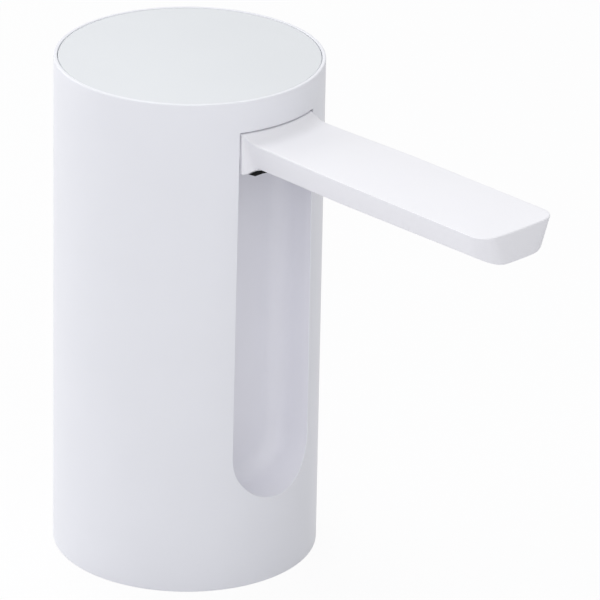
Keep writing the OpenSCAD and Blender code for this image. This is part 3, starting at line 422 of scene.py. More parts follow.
# Each finish: its material's name, its dark and light, the pattern that its colour follows, the pattern that
# its gloss and relief follow, the relief's depth in mm, the roughness and how far it varies, and the shader's
# other sockets. Dark and light are two hex values, or a colour setting with the share of it that is the dark
# and a bloom that is added for the light. A pattern is a texture kind, the size of its features in mm, one
# for all ways or one each along X, Y and Z, and its inputs.
FINISHES = {
    # ABS, injection moulded in a satin tool: soft broad sheen, a breath of grain, a very slow drift in tone.
    # The real grain is under 0.1 mm and is drawn at 0.6 mm so that it shows at all.
    "body_abs": ("moulded satin white ABS", ("body", 0.985, 0.0), (CLOUDS, 25, SOFT), (CLOUDS, 0.6, FINE),
                 0.0008, 0.42, 0.05, {"IOR": 1.53}),
    # ABS, injection moulded in a satin tool: the body's grain in a slightly lighter white, which is painted
    # light standing in for the light in the recess. The real grain is under 0.1 mm and is drawn at 0.6 mm.
    "recess_abs_painted_light": ("moulded satin recess ABS", ("liner", 0.985, 0.0), (CLOUDS, 25, SOFT), (CLOUDS, 0.6, FINE),
                  0.0008, 0.45, 0.05, {"IOR": 1.53}),
    # ABS, injection moulded in a spark-eroded tool: duller than the body, so that the key stands apart from
    # its rim. The real grain is about 0.1 mm and is drawn at 0.5 mm.
    "key_abs": ("moulded fine-grain key ABS", ("key", 0.985, 0.0), (CLOUDS, 30, SOFT), (CLOUDS, 0.5, FINE),
                0.001, 0.5, 0.05, {"IOR": 1.53}),
    # ABS, injection moulded in a bright satin tool: a little smoother than the body.
    # The real grain is under 0.1 mm and is drawn at 0.6 mm.
    "arm_abs": ("moulded bright white ABS", ("arm", 0.99, 0.0), (CLOUDS, 20, SOFT), (CLOUDS, 0.6, FINE),
                0.0006, 0.4, 0.05, {"IOR": 1.53}),
    # NBR rubber, compression moulded: near black and dull, with a faint grey bloom in patches of a few mm.
    "black_rubber": ("moulded black NBR rubber", ("rubber", 1.0, 0.006), (CLOUDS, 4, FINE),
                     (CLOUDS, 0.3, CRISP), 0.01, 0.75, 0.05, {"IOR": 1.52, "Specular IOR Level": 0.15}),
    # Nylon with short glass fibres, injection moulded: dark, half dull, with fine streaks where fibres reach
    # the skin.
    "black_nylon": ("moulded glass-filled black nylon", ("nylon", 0.7, 0.0), (CLOUDS, (0.4, 2.0, 0.4), FINE),
                    (CLOUDS, (0.2, 1.0, 0.2), CRISP), 0.006, 0.5, 0.1, {"IOR": 1.53}),
    # Low-carbon steel, cold drawn and zinc plated: bright, with fine draw lines along the length.
    "steel": ("drawn zinc-plated steel", ("steel", 0.82, 0.0), (CLOUDS, (0.3, 0.3, 5.0), FINE),
              (CLOUDS, (0.12, 0.12, 4.0), CRISP), 0.003, 0.3, 0.08, {"Metallic": 1.0}),
    # Silicone rubber, extruded and post-cured: milky and half clear, with a soft skin and faint clouding.
    "silicone": ("extruded milky silicone rubber", ("silicone", 0.92, 0.0), (CLOUDS, 5, SOFT),
                 (CLOUDS, 0.5, FINE), 0.003, 0.4, 0.05, {"IOR": 1.41, "Transmission Weight": 0.35}),
    # Acetal, injection moulded: ivory and waxy, with a smooth skin.
    "ivory_acetal": ("moulded ivory acetal", ("acetal", 0.95, 0.0), (CLOUDS, 8, SOFT), (CLOUDS, 0.4, FINE),
                     0.002, 0.33, 0.05, {"IOR": 1.48}),
    # Bronze powder, pressed and sintered: brown gold, matt between open pores of about 0.05 mm, which are
    # drawn at 0.25 mm.
    "sintered_bronze": ("sintered oil-filled bronze", ("#5E3D1E", "#B98148"), (CELLS, 0.25, {}),
                        (CELLS, 0.25, {}), 0.02, 0.5, 0.12, {"Metallic": 1.0}),
    # Strontium ferrite, pressed and fired: dark grey and stony, with crystals of about 0.1 mm, which are
    # drawn at 0.3 mm.
    "ferrite": ("fired strontium ferrite", ("#232326", "#3E3E43"), (CELLS, 0.3, {}), (CLOUDS, 0.3, CRISP),
                0.01, 0.6, 0.05, {}),
    # Silicon steel, stamped and stacked with a lacquered copper winding: thin dark joints between the sheets.
    # Real sheets are 0.5 mm and are drawn at 1 mm.
    "armature_iron": ("stacked silicon steel sheets", ("#5A4636", "#A9764F"), SHEETS, SHEETS,
                      0.05, 0.45, 0.05, {"Metallic": 0.9}),
    # PVC sleeve, heat shrunk over the cell: glossy blue, with long shallow wrinkles round the ends.
    "cell_wrap": ("heat-shrunk blue PVC sleeve", ("#2F6794", "#4384B5"), (CLOUDS, (6, 6, 20), SOFT),
                  (CLOUDS, (3, 3, 12), SOFT), 0.05, 0.28, 0.05, {"IOR": 1.54}),
    # Glass epoxy laminate with solder mask: green, with raised lighter copper tracks about 0.4 mm wide.
    "circuit_board": ("solder-masked glass epoxy", ("#1F5C34", "#3B8A50"), TRACKS, TRACKS,
                      0.035, 0.35, 0.05, {"IOR": 1.55}),
    # PVC, extruded over stranded wire: glossy red, with a slight lay of the strands showing through.
    "lead_insulation": ("extruded red PVC insulation", ("#8E201A", "#BC332A"), (CLOUDS, (2, 2, 6), SOFT),
                        (CLOUDS, (0.6, 0.6, 2.0), SOFT), 0.01, 0.35, 0.05, {"IOR": 1.54}),
    # Acrylic, injection moulded and flame polished: clear, with only a trace of haze.
    "clear_acrylic": ("polished clear acrylic", ("#E6ECEC", "#F4F8F8"), (CLOUDS, 6, BLURRED),
                      (CLOUDS, 2, BLURRED), 0.001, 0.06, 0.03, {"IOR": 1.49, "Transmission Weight": 0.9}),
}
# Solids whose finish isn't the one that their slot is named for: the recess liner takes the recess's white
# with its painted light
NODE_FINISHES = {"recess_liner": "recess_abs_painted_light"}


def tones(tint, colours):
    """Dark and light of a finish."""
    if tint[0].startswith("#"):
        return [linear(code) for code in tint]
    setting, share, bloom = tint
    light = getattr(colours, setting)
    return [part * share for part in light], [part + bloom for part in light]


def finish(key, colours):
    """The material of a finish, made when it is first asked for."""
    name, tint, tone, grain, relief, roughness, gloss, sockets = FINISHES[key]
    material = bpy.data.materials.get(name)
    if material:
        return material
    material = bpy.data.materials.new(name)
    material.use_nodes = True
    tree = material.node_tree
    shader = tree.nodes["Principled BSDF"]
    place = add_node(tree, "ShaderNodeTexCoord").outputs["Object"]
    levels = []
    for (kind, output), size, inputs in (tone, grain):
        sizes = size if isinstance(size, tuple) else (size, size, size)
        scale = [1 / (s * MM) for s in sizes]
        scaled = add_node(tree, "ShaderNodeMapping", {"Vector": place, "Scale": scale})
        texture = add_node(tree, kind, {"Vector": scaled.outputs["Vector"], "Scale": 1.0, **inputs})
        levels.append(texture.outputs[output])
    blend = add_node(tree, "ShaderNodeValToRGB", {"Fac": levels[0]})
    stops = zip(blend.color_ramp.elements, (PATTERN_LOW, PATTERN_HIGH), tones(tint, colours))
    for stop, position, part in stops:
        stop.position = position
        stop.color = (*part, 1.0)
    shine = add_node(tree, "ShaderNodeMapRange", {
        "Value": levels[1], "From Min": PATTERN_LOW, "From Max": PATTERN_HIGH,
        "To Min": roughness - gloss, "To Max": roughness + gloss})
    bump = add_node(tree, "ShaderNodeBump", {"Height": levels[1], "Distance": relief * MM})
    tree.links.new(blend.outputs["Color"], shader.inputs["Base Color"])
    tree.links.new(shine.outputs["Result"], shader.inputs["Roughness"])
    tree.links.new(bump.outputs["Normal"], shader.inputs["Normal"])
    for socket, value in sockets.items():
        shader.inputs[socket].default_value = value
    return material


class JUGPUMP_OT_stage(bpy.types.Operator):
    """Set the pale floor, the soft light and the camera"""

    bl_idname = "jugpump.stage"
    bl_label = "Stage"
    # Place of each square soft lamp from the body's middle, as seen from the camera, in metres: rightward,
    # forward and upward, then its side. The top lamp stands behind, so that the body shades the arm's root.
    lamps = {"top_lamp": (-0.17, -0.44, 1.1, 0.4), "side_lamp": (-1.07, -0.42, 0.36, 1.0),
             "front_lamp": (-0.36, 1.13, 0.18, 1.0), "high_lamp": (0.05, 0.33, 0.38, 0.5)}
    sky_colour = (0.985, 0.985, 1.0, 1.0)
    white = (1.0, 1.0, 1.0, 1.0)
    # Half of the floor's side, in metres
    floor_half = 3.0
    # Share of plain white in the floor as it is seen. The rest is lit, and keeps the shadow.
    floor_white = 0.93

    def execute(self, context):
        stage = context.scene.jug_pump_stage
        context.scene.view_settings.view_transform = "Standard"
        right = Vector((math.cos(stage.azimuth), math.sin(stage.azimuth), 0.0))
        front = Vector((math.sin(stage.azimuth), -math.cos(stage.azimuth), 0.0))
        back = front * math.cos(stage.elevation) + Vector((0.0, 0.0, math.sin(stage.elevation)))
        up = back.cross(right)
        target = Vector((0.0, 0.0, stage.aim_height)) + right * stage.aim_right
        across = right * math.cos(stage.roll) + up * math.sin(stage.roll)
        along = up * math.cos(stage.roll) - right * math.sin(stage.roll)
        camera = bpy.data.objects.new("camera", bpy.data.cameras.new("camera"))
        camera.data.lens = stage.lens
        camera.data.sensor_width = 36.0
        camera.data.clip_start = 0.01
        camera.data.clip_end = 50.0
        turn = Matrix((across, along, back)).transposed().to_4x4()
        camera.matrix_world = Matrix.Translation(target + back * stage.distance) @ turn
        context.scene.collection.objects.link(camera)
        context.scene.camera = camera
        for name, (rightward, forward, upward, side) in self.lamps.items():
            away = right * rightward + front * forward + Vector((0.0, 0.0, upward))
            lamp = bpy.data.lights.new(name, "AREA")
            lamp.size = side
            lamp.energy = getattr(stage, name) * (math.pi * away.length) ** 2
            holder = bpy.data.objects.new(name, lamp)
            holder.location = Vector((0.0, 0.0, BODY_H / 2)) + away
            holder.rotation_euler = away.to_track_quat("Z", "Y").to_euler()
            context.scene.collection.objects.link(holder)
        self.light_sky(context, stage)
        self.lay_floor()
        return {"FINISHED"}

    def light_sky(self, context, stage):
        """Light the scene evenly, and show plain white where the world is seen."""
        world = bpy.data.worlds.new("studio")
        context.scene.world = world
        world.use_nodes = True
        tree = world.node_tree
        tree.nodes.clear()
        glow = add_node(tree, "ShaderNodeBackground", {"Color": self.sky_colour, "Strength": stage.sky})
        plain = add_node(tree, "ShaderNodeBackground", {"Color": self.white, "Strength": 1.0})
        both = add_node(tree, "ShaderNodeMixShader", {
            0: self.seen(tree), 1: glow.outputs[0], 2: plain.outputs[0]})
        add_node(tree, "ShaderNodeOutputWorld", {"Surface": both.outputs[0]})

    def seen(self, tree):
        """1 for what the camera sees, straight on, in a reflection or through a clear piece, and else 0."""
        path = add_node(tree, "ShaderNodeLightPath")
        direct = add_node(tree, "ShaderNodeMath", {
            0: path.outputs["Is Camera Ray"], 1: path.outputs["Is Glossy Ray"]}, operation="MAXIMUM")
        either = add_node(tree, "ShaderNodeMath", {
            0: direct.outputs[0], 1: path.outputs["Is Transmission Ray"]}, operation="MAXIMUM")
        return either.outputs[0]

    def lay_floor(self):
        """A pale matt floor that is nearly plain white where it is seen."""
        half = self.floor_half
        floor = make_mesh("floor", [(-half, -half, 0), (half, -half, 0), (half, half, 0), (-half, half, 0)],
                          [(0, 1, 2, 3)])
        material = bpy.data.materials.new("pale studio floor")
        material.use_nodes = True
        tree = material.node_tree
        tree.nodes.clear()
        matt = add_node(tree, "ShaderNodeBsdfDiffuse", {"Color": (*linear("#EDEDF0"), 1.0)})
        plain = add_node(tree, "ShaderNodeEmission", {"Color": self.white, "Strength": 1.0})
        share = add_node(tree, "ShaderNodeMath", {
            0: self.seen(tree), 1: self.floor_white}, operation="MULTIPLY")
        both = add_node(tree, "ShaderNodeMixShader", {
            0: share.outputs[0], 1: matt.outputs[0], 2: plain.outputs[0]})
        add_node(tree, "ShaderNodeOutputMaterial", {"Surface": both.outputs[0]})
        floor.data.materials.append(material)


def boundary(columns, rows):
    """Grid places round a block of columns and rows: along the foot, up, back over the top and down."""
    foot = [(c, rows[0]) for c in columns]
    rise = [(columns[-1], r) for r in rows[1:]]
    over = [(c, rows[-1]) for c in reversed(columns[:-1])]
    fall = [(columns[0], r) for r in reversed(rows[1:-1])]
    return foot + rise + over + fall


def window_loop(half, taper, centre, top, corner, counts):
    """Outline of the window, by how far it is grown: round foot, leaning sides, tight corners.

    The counts are the steps of each foot's rise, the straight side's heights, and the steps of half of a
    corner and across.
    """
    low, straight, tight, across = counts
    foot_turn = math.radians(60)

    def loop(grow):
        wide = half + grow
        bulge = corner + grow
        flat = half - taper - corner
        arcs = spread(-foot_turn, foot_turn, across), spread(foot_turn, math.pi / 2, low)[1:]
        foot, rise = [[(wide * math.sin(a), centre - wide * math.cos(a)) for a in arc] for arc in arcs]
        rise += [(wide - taper * (z - centre) / (top - corner - centre), z) for z in straight[1:]]
        bend = [(flat + bulge * math.cos(a), top - corner + bulge * math.sin(a))
                for a in spread(0.0, math.pi / 2, 2 * tight)[1:]]
        rise += bend[:tight]
        level = [(y, top + grow) for y in spread(flat, -flat, across - 2 * tight)[1:]]
        over = bend[tight:] + level + [(-y, z) for y, z in reversed(bend[tight - 1:-1])]
        fall = [(-y, z) for y, z in reversed(rise[:-1])]
        return foot + rise + over + fall

    return loop


def slot_loop(places, centre, half_y, half_z, power):
    """Outline of a small opening matched to the places round it, by how far it is grown.

    A power of 2 gives an ellipse, and a higher one squarer ends.
    """
    reach_y = max(abs(y - centre[0]) for y, z in places)
    reach_z = max(abs(z - centre[1]) for y, z in places)
    bearings = [math.atan2((z - centre[1]) / reach_z, (y - centre[0]) / reach_y) for y, z in places]

    def loop(grow):
        points = []
        for a in bearings:
            u = math.copysign(abs(math.cos(a)) ** (2 / power), math.cos(a))
            v = math.copysign(abs(math.sin(a)) ** (2 / power), math.sin(a))
            points.append((centre[0] + (half_y + grow) * u, centre[1] + (half_z + grow) * v))
        return points

    return loop


class JUGPUMP_OT_outer_shell(bpy.types.Operator):
    """Outer shell: a round wall with its rim, the spout's window and the openings at the back"""

    bl_idname = "jugpump.outer_shell"
    bl_label = "Outer shell"
    # Steps round the wall: the window, one side, the light's opening, the socket's opening and the other side
    steps_round = (30, 44, 10, 20, 48)
    # Steps up the wall: the window's foot, the openings' band, the rest of its sides, half of its corner
    steps_up = (8, 8, 16, 3)
    # Wall round the window that its edge is drawn into, and half of the height of the openings' band
    margin = 2.5 * MM
    band_half = 4.0 * MM
    # Added to the wall's thickness, so that it meets the liner's front edge
    liner_reach = 0.09 * MM
    opening_round = 0.2 * MM
    light_power = 2.0
    socket_power = 4.5
    # Least distance of the reveal's faces from the wall's inner face
    reveal_clear = 0.25 * MM
    # Shares of the way to an opening's edge at which rings of points lie, and the steps round that edge
    approach = (0.3, 0.6, 0.85)
    edge_steps = 5

    def execute(self, context):
        sizes = context.scene.jug_pump_sizes
        window_steps, side_steps, light_steps, socket_steps, far_steps = self.steps_round
        foot_steps, band_steps, upper_steps, corner_steps = self.steps_up
        half = LINER_HIGH.y - sizes.liner_wall - sizes.window_trim
        top = LINER_HIGH.z - sizes.liner_wall - 3 * sizes.window_trim
        centre = LINER_LOW.z + sizes.liner_wall + sizes.window_trim + half
        port = (PORT_LOW + PORT_HIGH) / 2
        light = (LIGHT_LOW + LIGHT_HIGH) / 2
        port_half_y = (PORT_HIGH.y - PORT_LOW.y) / 2 + sizes.port_gap
        port_half_z = (PORT_HIGH.z - PORT_LOW.z) / 2 + sizes.port_gap
        light_half = (LIGHT_HIGH.z - LIGHT_LOW.z) / 2
        front = math.asin((half + self.margin) / BODY_R)
        port_edge = math.pi - math.asin((port_half_y + light.y - light_half) / 2 / BODY_R)
        light_edge = math.pi - math.asin((2 * light.y - BODY_R * math.sin(port_edge)) / BODY_R)
        turns = spread(-front, front, window_steps)
        turns += spread(front, light_edge, side_steps)[1:]
        turns += spread(light_edge, port_edge, light_steps)[1:]
        turns += spread(port_edge, math.tau - port_edge, socket_steps)[1:]
        turns += spread(math.tau - port_edge, math.tau - front, far_steps)[1:-1]
        low = spread(centre - half - self.margin, centre, foot_steps)
        band = spread(port.z - self.band_half, port.z + self.band_half, band_steps)
        straight = [centre] + band + spread(band[-1], top - sizes.window_corner, upper_steps)[1:]
        tight = spread(top - sizes.window_corner, top + self.margin, corner_steps)
        heights = [sizes.foot_round] + low + straight[1:] + tight[1:] + [BODY_H - sizes.rim_round]
        first, last = 1, len(heights) - 2
        inner = BODY_R - sizes.shell_wall - self.liner_reach
        rim_in = BODY_R - sizes.rim_width
        rim = eased([(BODY_R, 0, 0), (BODY_R, BODY_H, sizes.rim_round), (rim_in, BODY_H, sizes.rim_round / 2),
                     (rim_in, 0, 0)])[1:-1]
        ledge = BODY_H - sizes.ledge_drop
        foot = eased([(inner, 0, 0), (BODY_R, 0, sizes.foot_round), (BODY_R, BODY_H, 0)])[1:-2]
        profile = [(BODY_R, z) for z in heights[:-1]] + rim + [(rim_in, ledge), (inner, ledge)]
        inside = len(profile)
        profile += [(inner, z) for z in reversed(heights[first:last + 1])] + [(inner, 0.0)] + foot
        count = len(profile)
        points, faces = skinned([turned(profile, a) for a in turns], looped=True)
        cells = [(1, list(range(window_steps + 1)), list(range(first, last + 1)),
                  window_loop(half, sizes.window_taper, centre, top, sizes.window_corner,
                              (foot_steps, straight, corner_steps, window_steps)), sizes.window_round)]
        port_row = heights.index(band[0])
        rows = list(range(port_row, port_row + band_steps + 1))
        column = window_steps + side_steps
        for steps, middle, wide, high, power in (
                (light_steps, light, light_half, light_half, self.light_power),
                (socket_steps, port, port_half_y, port_half_z, self.socket_power)):
            columns = list(range(column, column + steps + 1))
            column += steps
            places = [(BODY_R * math.sin(turns[c]), heights[r]) for c, r in boundary(columns, rows)]
            loop = slot_loop(places, (middle.y, middle.z), wide, high, power)
            cells.append((-1, columns, rows, loop, self.opening_round))
        gone = {(c, k) for cell in cells for c in cell[1][:-1] for r in cell[2][:-1]
                for k in (r, inside + last - r - 1)}
        faces = [face for i, face in enumerate(faces) if divmod(i, count) not in gone]
        for side, columns, rows, loop, ease in cells:
            ring = boundary(columns, rows)
            outer = [c * count + r for c, r in ring]
            within = [c * count + inside + last - r for c, r in ring]
            self.pierce(points, faces, side, outer, within, loop, ease, inner)
        shell = make_mesh("outer_shell_wall", points, faces)
        dress(shell, "body", "body_abs", "outer_shell")
        # The window's reveal gets the recess's lighter white, which is painted light, so that the two read as
        # one surface
        shell.data.materials.append(finish("recess_abs_painted_light", context.scene.jug_pump_colours))
        for face in shell.data.polygons:
            radius = math.hypot(face.center.x, face.center.y)
            beside = face.center.x > 0 and LINER_LOW.z < face.center.z < LINER_HIGH.z
            if beside and inner + self.reveal_clear < radius < BODY_R - sizes.window_round:
                face.material_index = 1
        return {"FINISHED"}

    def pierce(self, points, faces, side, outer, within, loop, ease, inner):
        """Lead the wall from an outer ring of points, round the opening's edge and on to the inner ring."""

        def add_ring(outline, radius, depth=0.0):
            start = len(points)
            points.extend((side * (math.sqrt(radius ** 2 - y ** 2) - depth), y, z) for y, z in outline)
            return list(range(start, len(points)))

        def between(indices, outline, share):
            return [(mix(points[i][1], y, share), mix(points[i][2], z, share))
                    for i, (y, z) in zip(indices, outline)]

        rings = [outer]
        edge = loop(ease)
        for share in self.approach:
            rings.append(add_ring(between(outer, edge, share), BODY_R))
        for a in spread(0.0, math.pi / 2, self.edge_steps):
            rings.append(add_ring(loop(ease * (1 - math.sin(a))), BODY_R, ease * (1 - math.cos(a))))
        rings.append(add_ring(loop(0.0), inner))
        rings.append(add_ring(between(within, loop(0.0), 0.5), inner))
        rings.append(within)
        for a, b in zip(rings, rings[1:]):
            for i in range(len(a)):
                j = (i + 1) % len(a)
                faces.append((a[i], a[j], b[j], b[i]))


class JUGPUMP_OT_top_key(bpy.types.Operator):
    """Press key: a disc with an eased edge, its guide skirt and three guide legs"""

    bl_idname = "jugpump.top_key"
    bl_label = "Press key"
    # Bearings of the guide legs, half of the arc that each spans, both in degrees, and their ends' rounding
    leg_bearings = (110, 180, 250)
    leg_half = 6
    leg_round = 0.3 * MM

    def execute(self, context):
        sizes = context.scene.jug_pump_sizes
        under = KEY_HIGH.z - sizes.key_thick
        skirt_out = KEY_HIGH.y - sizes.skirt_in
        skirt_in = skirt_out - sizes.skirt_wall
        skirt_low = under - sizes.skirt_drop
        ease = sizes.key_round
        disc = eased([(0, KEY_HIGH.z, 0), (KEY_HIGH.y, KEY_HIGH.z, ease), (KEY_HIGH.y, under, ease / 2),
                      (skirt_out, under, 0), (skirt_out, skirt_low, ease), (skirt_in, skirt_low, ease),
                      (skirt_in, under, 0), (0, under, 0)])
        points, faces = lathe(disc, steps=160)
        leg = eased([(sizes.leg_in, under, 0), (sizes.leg_out, under, 0),
                     (sizes.leg_out, KEY_LOW.z, self.leg_round), (sizes.leg_in, KEY_LOW.z, self.leg_round)])
        for bearing in self.leg_bearings:
            turns = spread(math.radians(bearing - self.leg_half), math.radians(bearing + self.leg_half), 8)
            add_rings(points, faces, [turned(leg, a) for a in turns])
        dress(make_mesh("top_key_disc", points, faces), "top_key", "key_abs", "top_key")
        return {"FINISHED"}


def cover_outline(sizes, grow):
    """Outline of the cover under the arm, grown by a margin: tight corners at the root, wide at the tip."""
    half = sizes.cover_half + grow
    root = COVER_LOW.x - grow
    end = COVER_HIGH.x + grow
    tight = 1.5 * MM
    wide = sizes.cover_corner + grow
    return eased([(root, -half, tight), (end, -half, wide), (end, half, wide), (root, half, tight)], 8)


class JUGPUMP_OT_spout_arm(bpy.types.Operator):
    """Spout arm: a crowned top on sloping sides, a round tip, and a root that flares into its plate"""

    bl_idname = "jugpump.spout_arm"
    bl_label = "Spout arm"
    # Steps across, along the flare, along the straight and round the tip's corner
    steps = (16, 14, 20, 12)
    # Power by which the flare's top falls away from the plate
    fall_power = 1.6
    # Share of the straight after which the arm has its full width
    widened = 0.45
    # Least flat that a corner leaves at the tip
    least_flat = 0.5 * MM
    room_corner = 4.0 * MM
    # Inset of the opening under the room from the cover's edge, and how far a cut runs past a face
    inset = 1.0 * MM
    # A friction washer's thickness with its gap, and the play round a hinge pin
    washer_room = 0.7 * MM
    pin_play = 0.05 * MM
    # Roundings of the hinge eyes and of their webs, and the webs' reach under and over the hinge
    eye_round = 0.3 * MM
    web_round = 0.2 * MM
    web_low = 3.6 * MM
    web_high = 4.0 * MM

    def execute(self, context):
        sizes = context.scene.jug_pump_sizes
        arm = make_mesh("spout_arm", *self.skin(sizes))
        self.hollow(arm, sizes)
        self.hinge_eyes(arm, sizes)
        dress(arm, "spout", "arm_abs", "arm_shell", crease=38.0)
        return {"FINISHED"}

    def skin(self, sizes):
        """The closed outer skin, as sheets: both sides with the tip, the top, the underside and the back."""
        across, flare_steps, straight_steps, bend_steps = self.steps
        half = ARM_HIGH.y
        tip = ARM_HIGH.x
        narrow = half - sizes.plate_trim
        lean = (ARM_TOP - ARM_BOTTOM) * math.tan(sizes.arm_draft)
        front_r = BODY_R - sizes.plate_sink
        back_r = front_r - sizes.plate_depth
        reach = sizes.flare_reach
        belly = sizes.belly_half
        hem = ARM_LOW.z + sizes.plate_lift
        crest = ARM_HIGH.z - sizes.plate_drop

        def round_x(radius, y):
            return math.sqrt(radius ** 2 - y ** 2)

        def flare(out, run):
            """Share of a concave flare that is left so far out from the plate."""
            left = max(0.0, 1 - out / run)
            return 1 - math.sqrt(1 - left ** 2)

        def section(wide, top, foot, low, top_round, low_round, lift, belly):
            """Half of a cross section: a leaning side, and under it a slope down to the flat underside."""
            knee = mix(foot, wide, lift / (top - low))
            return eased([(0, top, 0), (wide, top, top_round), (knee, low + lift, low_round), (belly, low, 0),
                          (0, low, 0)], 6)[1:-1]

        # Each layer follows one place of the section from the plate's back to the tip. Its rows hold how wide
        # and how high it is there, and where it lies along the arm, by how far across.
        plate = section(narrow, crest, narrow, hem, sizes.plate_corner, sizes.plate_corner, 0.0, belly)
        layers = [[(*place, lambda y: round_x(back_r, y))] for place in plate]
        for share in spread(0.0, 1.0, flare_steps):
            out = reach * share ** 2
            side = flare(out, sizes.side_flare)
            low = mix(ARM_BOTTOM, hem, flare(out, sizes.low_flare))
            risen = min(1.0, out / sizes.gusset_run)
            knee = mix(hem, ARM_BOTTOM + sizes.root_lift, risen)
            top = mix(ARM_TOP, crest, (1 - out / reach) ** self.fall_power)
            top_round = mix(sizes.root_round, sizes.plate_corner, side)
            low_round = mix(sizes.plate_corner, sizes.arm_lower_round, risen)
            rim = section(narrow, top, mix(narrow - lean, narrow, side), low, top_round, low_round,
                          knee - low, belly)
            for layer, place in zip(layers, rim):
                layer.append((*place, lambda y, out=out: round_x(front_r, y) + out))
        straight = []
        for share in spread(0.0, 1.0, straight_steps)[1:]:
            grown = ramp(share / self.widened)
            wide = mix(narrow, half, grown)
            straight.append((share, section(
                wide, ARM_TOP, wide - lean, ARM_BOTTOM, mix(sizes.root_round, sizes.arm_top_round, grown),
                sizes.arm_lower_round, mix(sizes.root_lift, sizes.tip_lift, share), belly)))
        full = straight[-1][1]
        end = section(tip, ARM_TOP, tip, ARM_BOTTOM, sizes.tip_edge, sizes.arm_end_round, sizes.end_lift,
                      tip - sizes.belly_end)
        last = math.pi / 2 - sizes.end_bow
        for i, (layer, (wide, high), (far, far_high)) in enumerate(zip(layers, full, end)):
            depth = (ARM_TOP - high) / (ARM_TOP - ARM_BOTTOM)
            corner = min(mix(sizes.arm_tip_round, sizes.arm_tip_low_round, depth), wide - self.least_flat)
            flat = wide - corner + corner * math.cos(last)
            bow = flat * math.tan(sizes.end_bow) / 2
            start = far - bow - corner * math.sin(last)
            for share, rim in straight:
                layer.append((*rim[i], lambda y, share=share, start=start:
                              mix(round_x(front_r, y) + reach, start, share)))
            for a in spread(0.0, last, bend_steps)[1:-1]:
                x = start + corner * math.sin(a)
                fall = (math.sin(a) / math.sin(last)) ** 2
                beside = wide - corner + corner * math.cos(a)
                layer.append((beside, mix(high, far_high, fall), lambda y, x=x: x))
            layer.append((flat, far_high, lambda y, far=far, bow=bow, flat=flat: far - bow * (y / flat) ** 2))

        def across_row(row):
            wide, high, x_at = row
            return [(x_at(y), y, high) for y in spread(-wide, wide, across)]

        def crowned_row(row, stop):
            """A row across the top, risen between the long edges and level at the root and the tip."""
            wide, high, x_at = row
            rise = sizes.arm_crown * ramp((x_at(0.0) - BODY_R - reach) / sizes.crown_run)
            rise *= ramp((stop - x_at(0.0)) / sizes.crown_run)
            return [(x, y, z + rise * (1 - (y / wide) ** 2)) for x, y, z in across_row(row)]

        sheets = []
        for rows in layers:
            near = [(x_at(wide), -wide, high) for wide, high, x_at in rows]
            sheets.append(near + across_row(rows[-1])[1:-1] + [(x, -y, z) for x, y, z in reversed(near)])
        points = []
        faces = []
        add_grid(points, faces, sheets)
        stop = layers[0][-1][2](0.0)
        add_grid(points, faces, [crowned_row(row, stop) for row in layers[0]])
        add_grid(points, faces, [across_row(row) for row in layers[-1]])
        add_grid(points, faces, [across_row(rows[0]) for rows in layers])
        return points, faces

    def hollow(self, arm, sizes):
        """Cut the water tube's room, the opening under it, the cover's seat and the hose's passage."""
        wall = sizes.arm_wall
        inset = self.inset
        root = BODY_R + sizes.flare_reach
        room = rectangle((root, -COVER_HIGH.y), (ARM_HIGH.x - 2 * wall, COVER_HIGH.y), self.room_corner)
        mouth = cover_outline(sizes, -inset)
        seat = cover_outline(sizes, sizes.cover_gap)
        passage = rod(HOSE_HIGH.y + sizes.hose_gap, HINGE.x, root + inset, steps=40)
        combine(arm, "DIFFERENCE", prism(room, ARM_BOTTOM + wall, ARM_TOP - wall))
        combine(arm, "DIFFERENCE", prism(mouth, ARM_BOTTOM - inset, ARM_BOTTOM + 2 * wall))
        combine(arm, "DIFFERENCE", prism(seat, ARM_BOTTOM - inset, COVER_HIGH.z))
        combine(arm, "DIFFERENCE", lay_along_x(passage, 0.0, HINGE.z))

    def hinge_eyes(self, arm, sizes):
        """Add the two hinge eyes behind the plate and drill them for the pins."""
        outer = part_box("friction_washers")[1].y - self.washer_room
        back = BODY_R - sizes.plate_sink - sizes.plate_depth / 2
        reach = math.sqrt(back ** 2 - outer ** 2)
        for sign in (-1, 1):
            start, stop = sorted((sign * sizes.eye_from, sign * outer))
            eye = rod(sizes.eye_radius, start, stop, steps=56, ease=self.eye_round)
            combine(arm, "UNION", lay_along_y(eye, HINGE.x, HINGE.z))
            web = rectangle((HINGE.x, start), (reach, stop), self.web_round)
            combine(arm, "UNION", prism(web, HINGE.z - self.web_low, HINGE.z + self.web_high))
        drill = rod((PIN_HIGH.x - PIN_LOW.x) / 2 + self.pin_play, -ARM_HIGH.y, ARM_HIGH.y, steps=40)
        combine(arm, "DIFFERENCE", lay_along_y(drill, HINGE.x, HINGE.z))


class JUGPUMP_OT_arm_cover(bpy.types.Operator):
    """Cover under the arm: an eased plate with the nozzle's hole"""

    bl_idname = "jugpump.arm_cover"
    bl_label = "Arm cover"
    edge_round = 0.3 * MM

    def execute(self, context):
        sizes = context.scene.jug_pump_sizes
        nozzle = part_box("outlet_nozzle")[1]
        plate = prism(cover_outline(sizes, 0.0), COVER_LOW.z, COVER_HIGH.z, self.edge_round)
        cover = make_mesh("arm_cover_plate", *plate)
        middle = (nozzle.x - nozzle.y, 0.0)
        hole = rod(nozzle.y + sizes.cover_gap, COVER_LOW.z - MM, COVER_HIGH.z + MM, steps=64, centre=middle)
        combine(cover, "DIFFERENCE", hole)
        dress(cover, "spout", "arm_abs", "arm_cover")
        return {"FINISHED"}


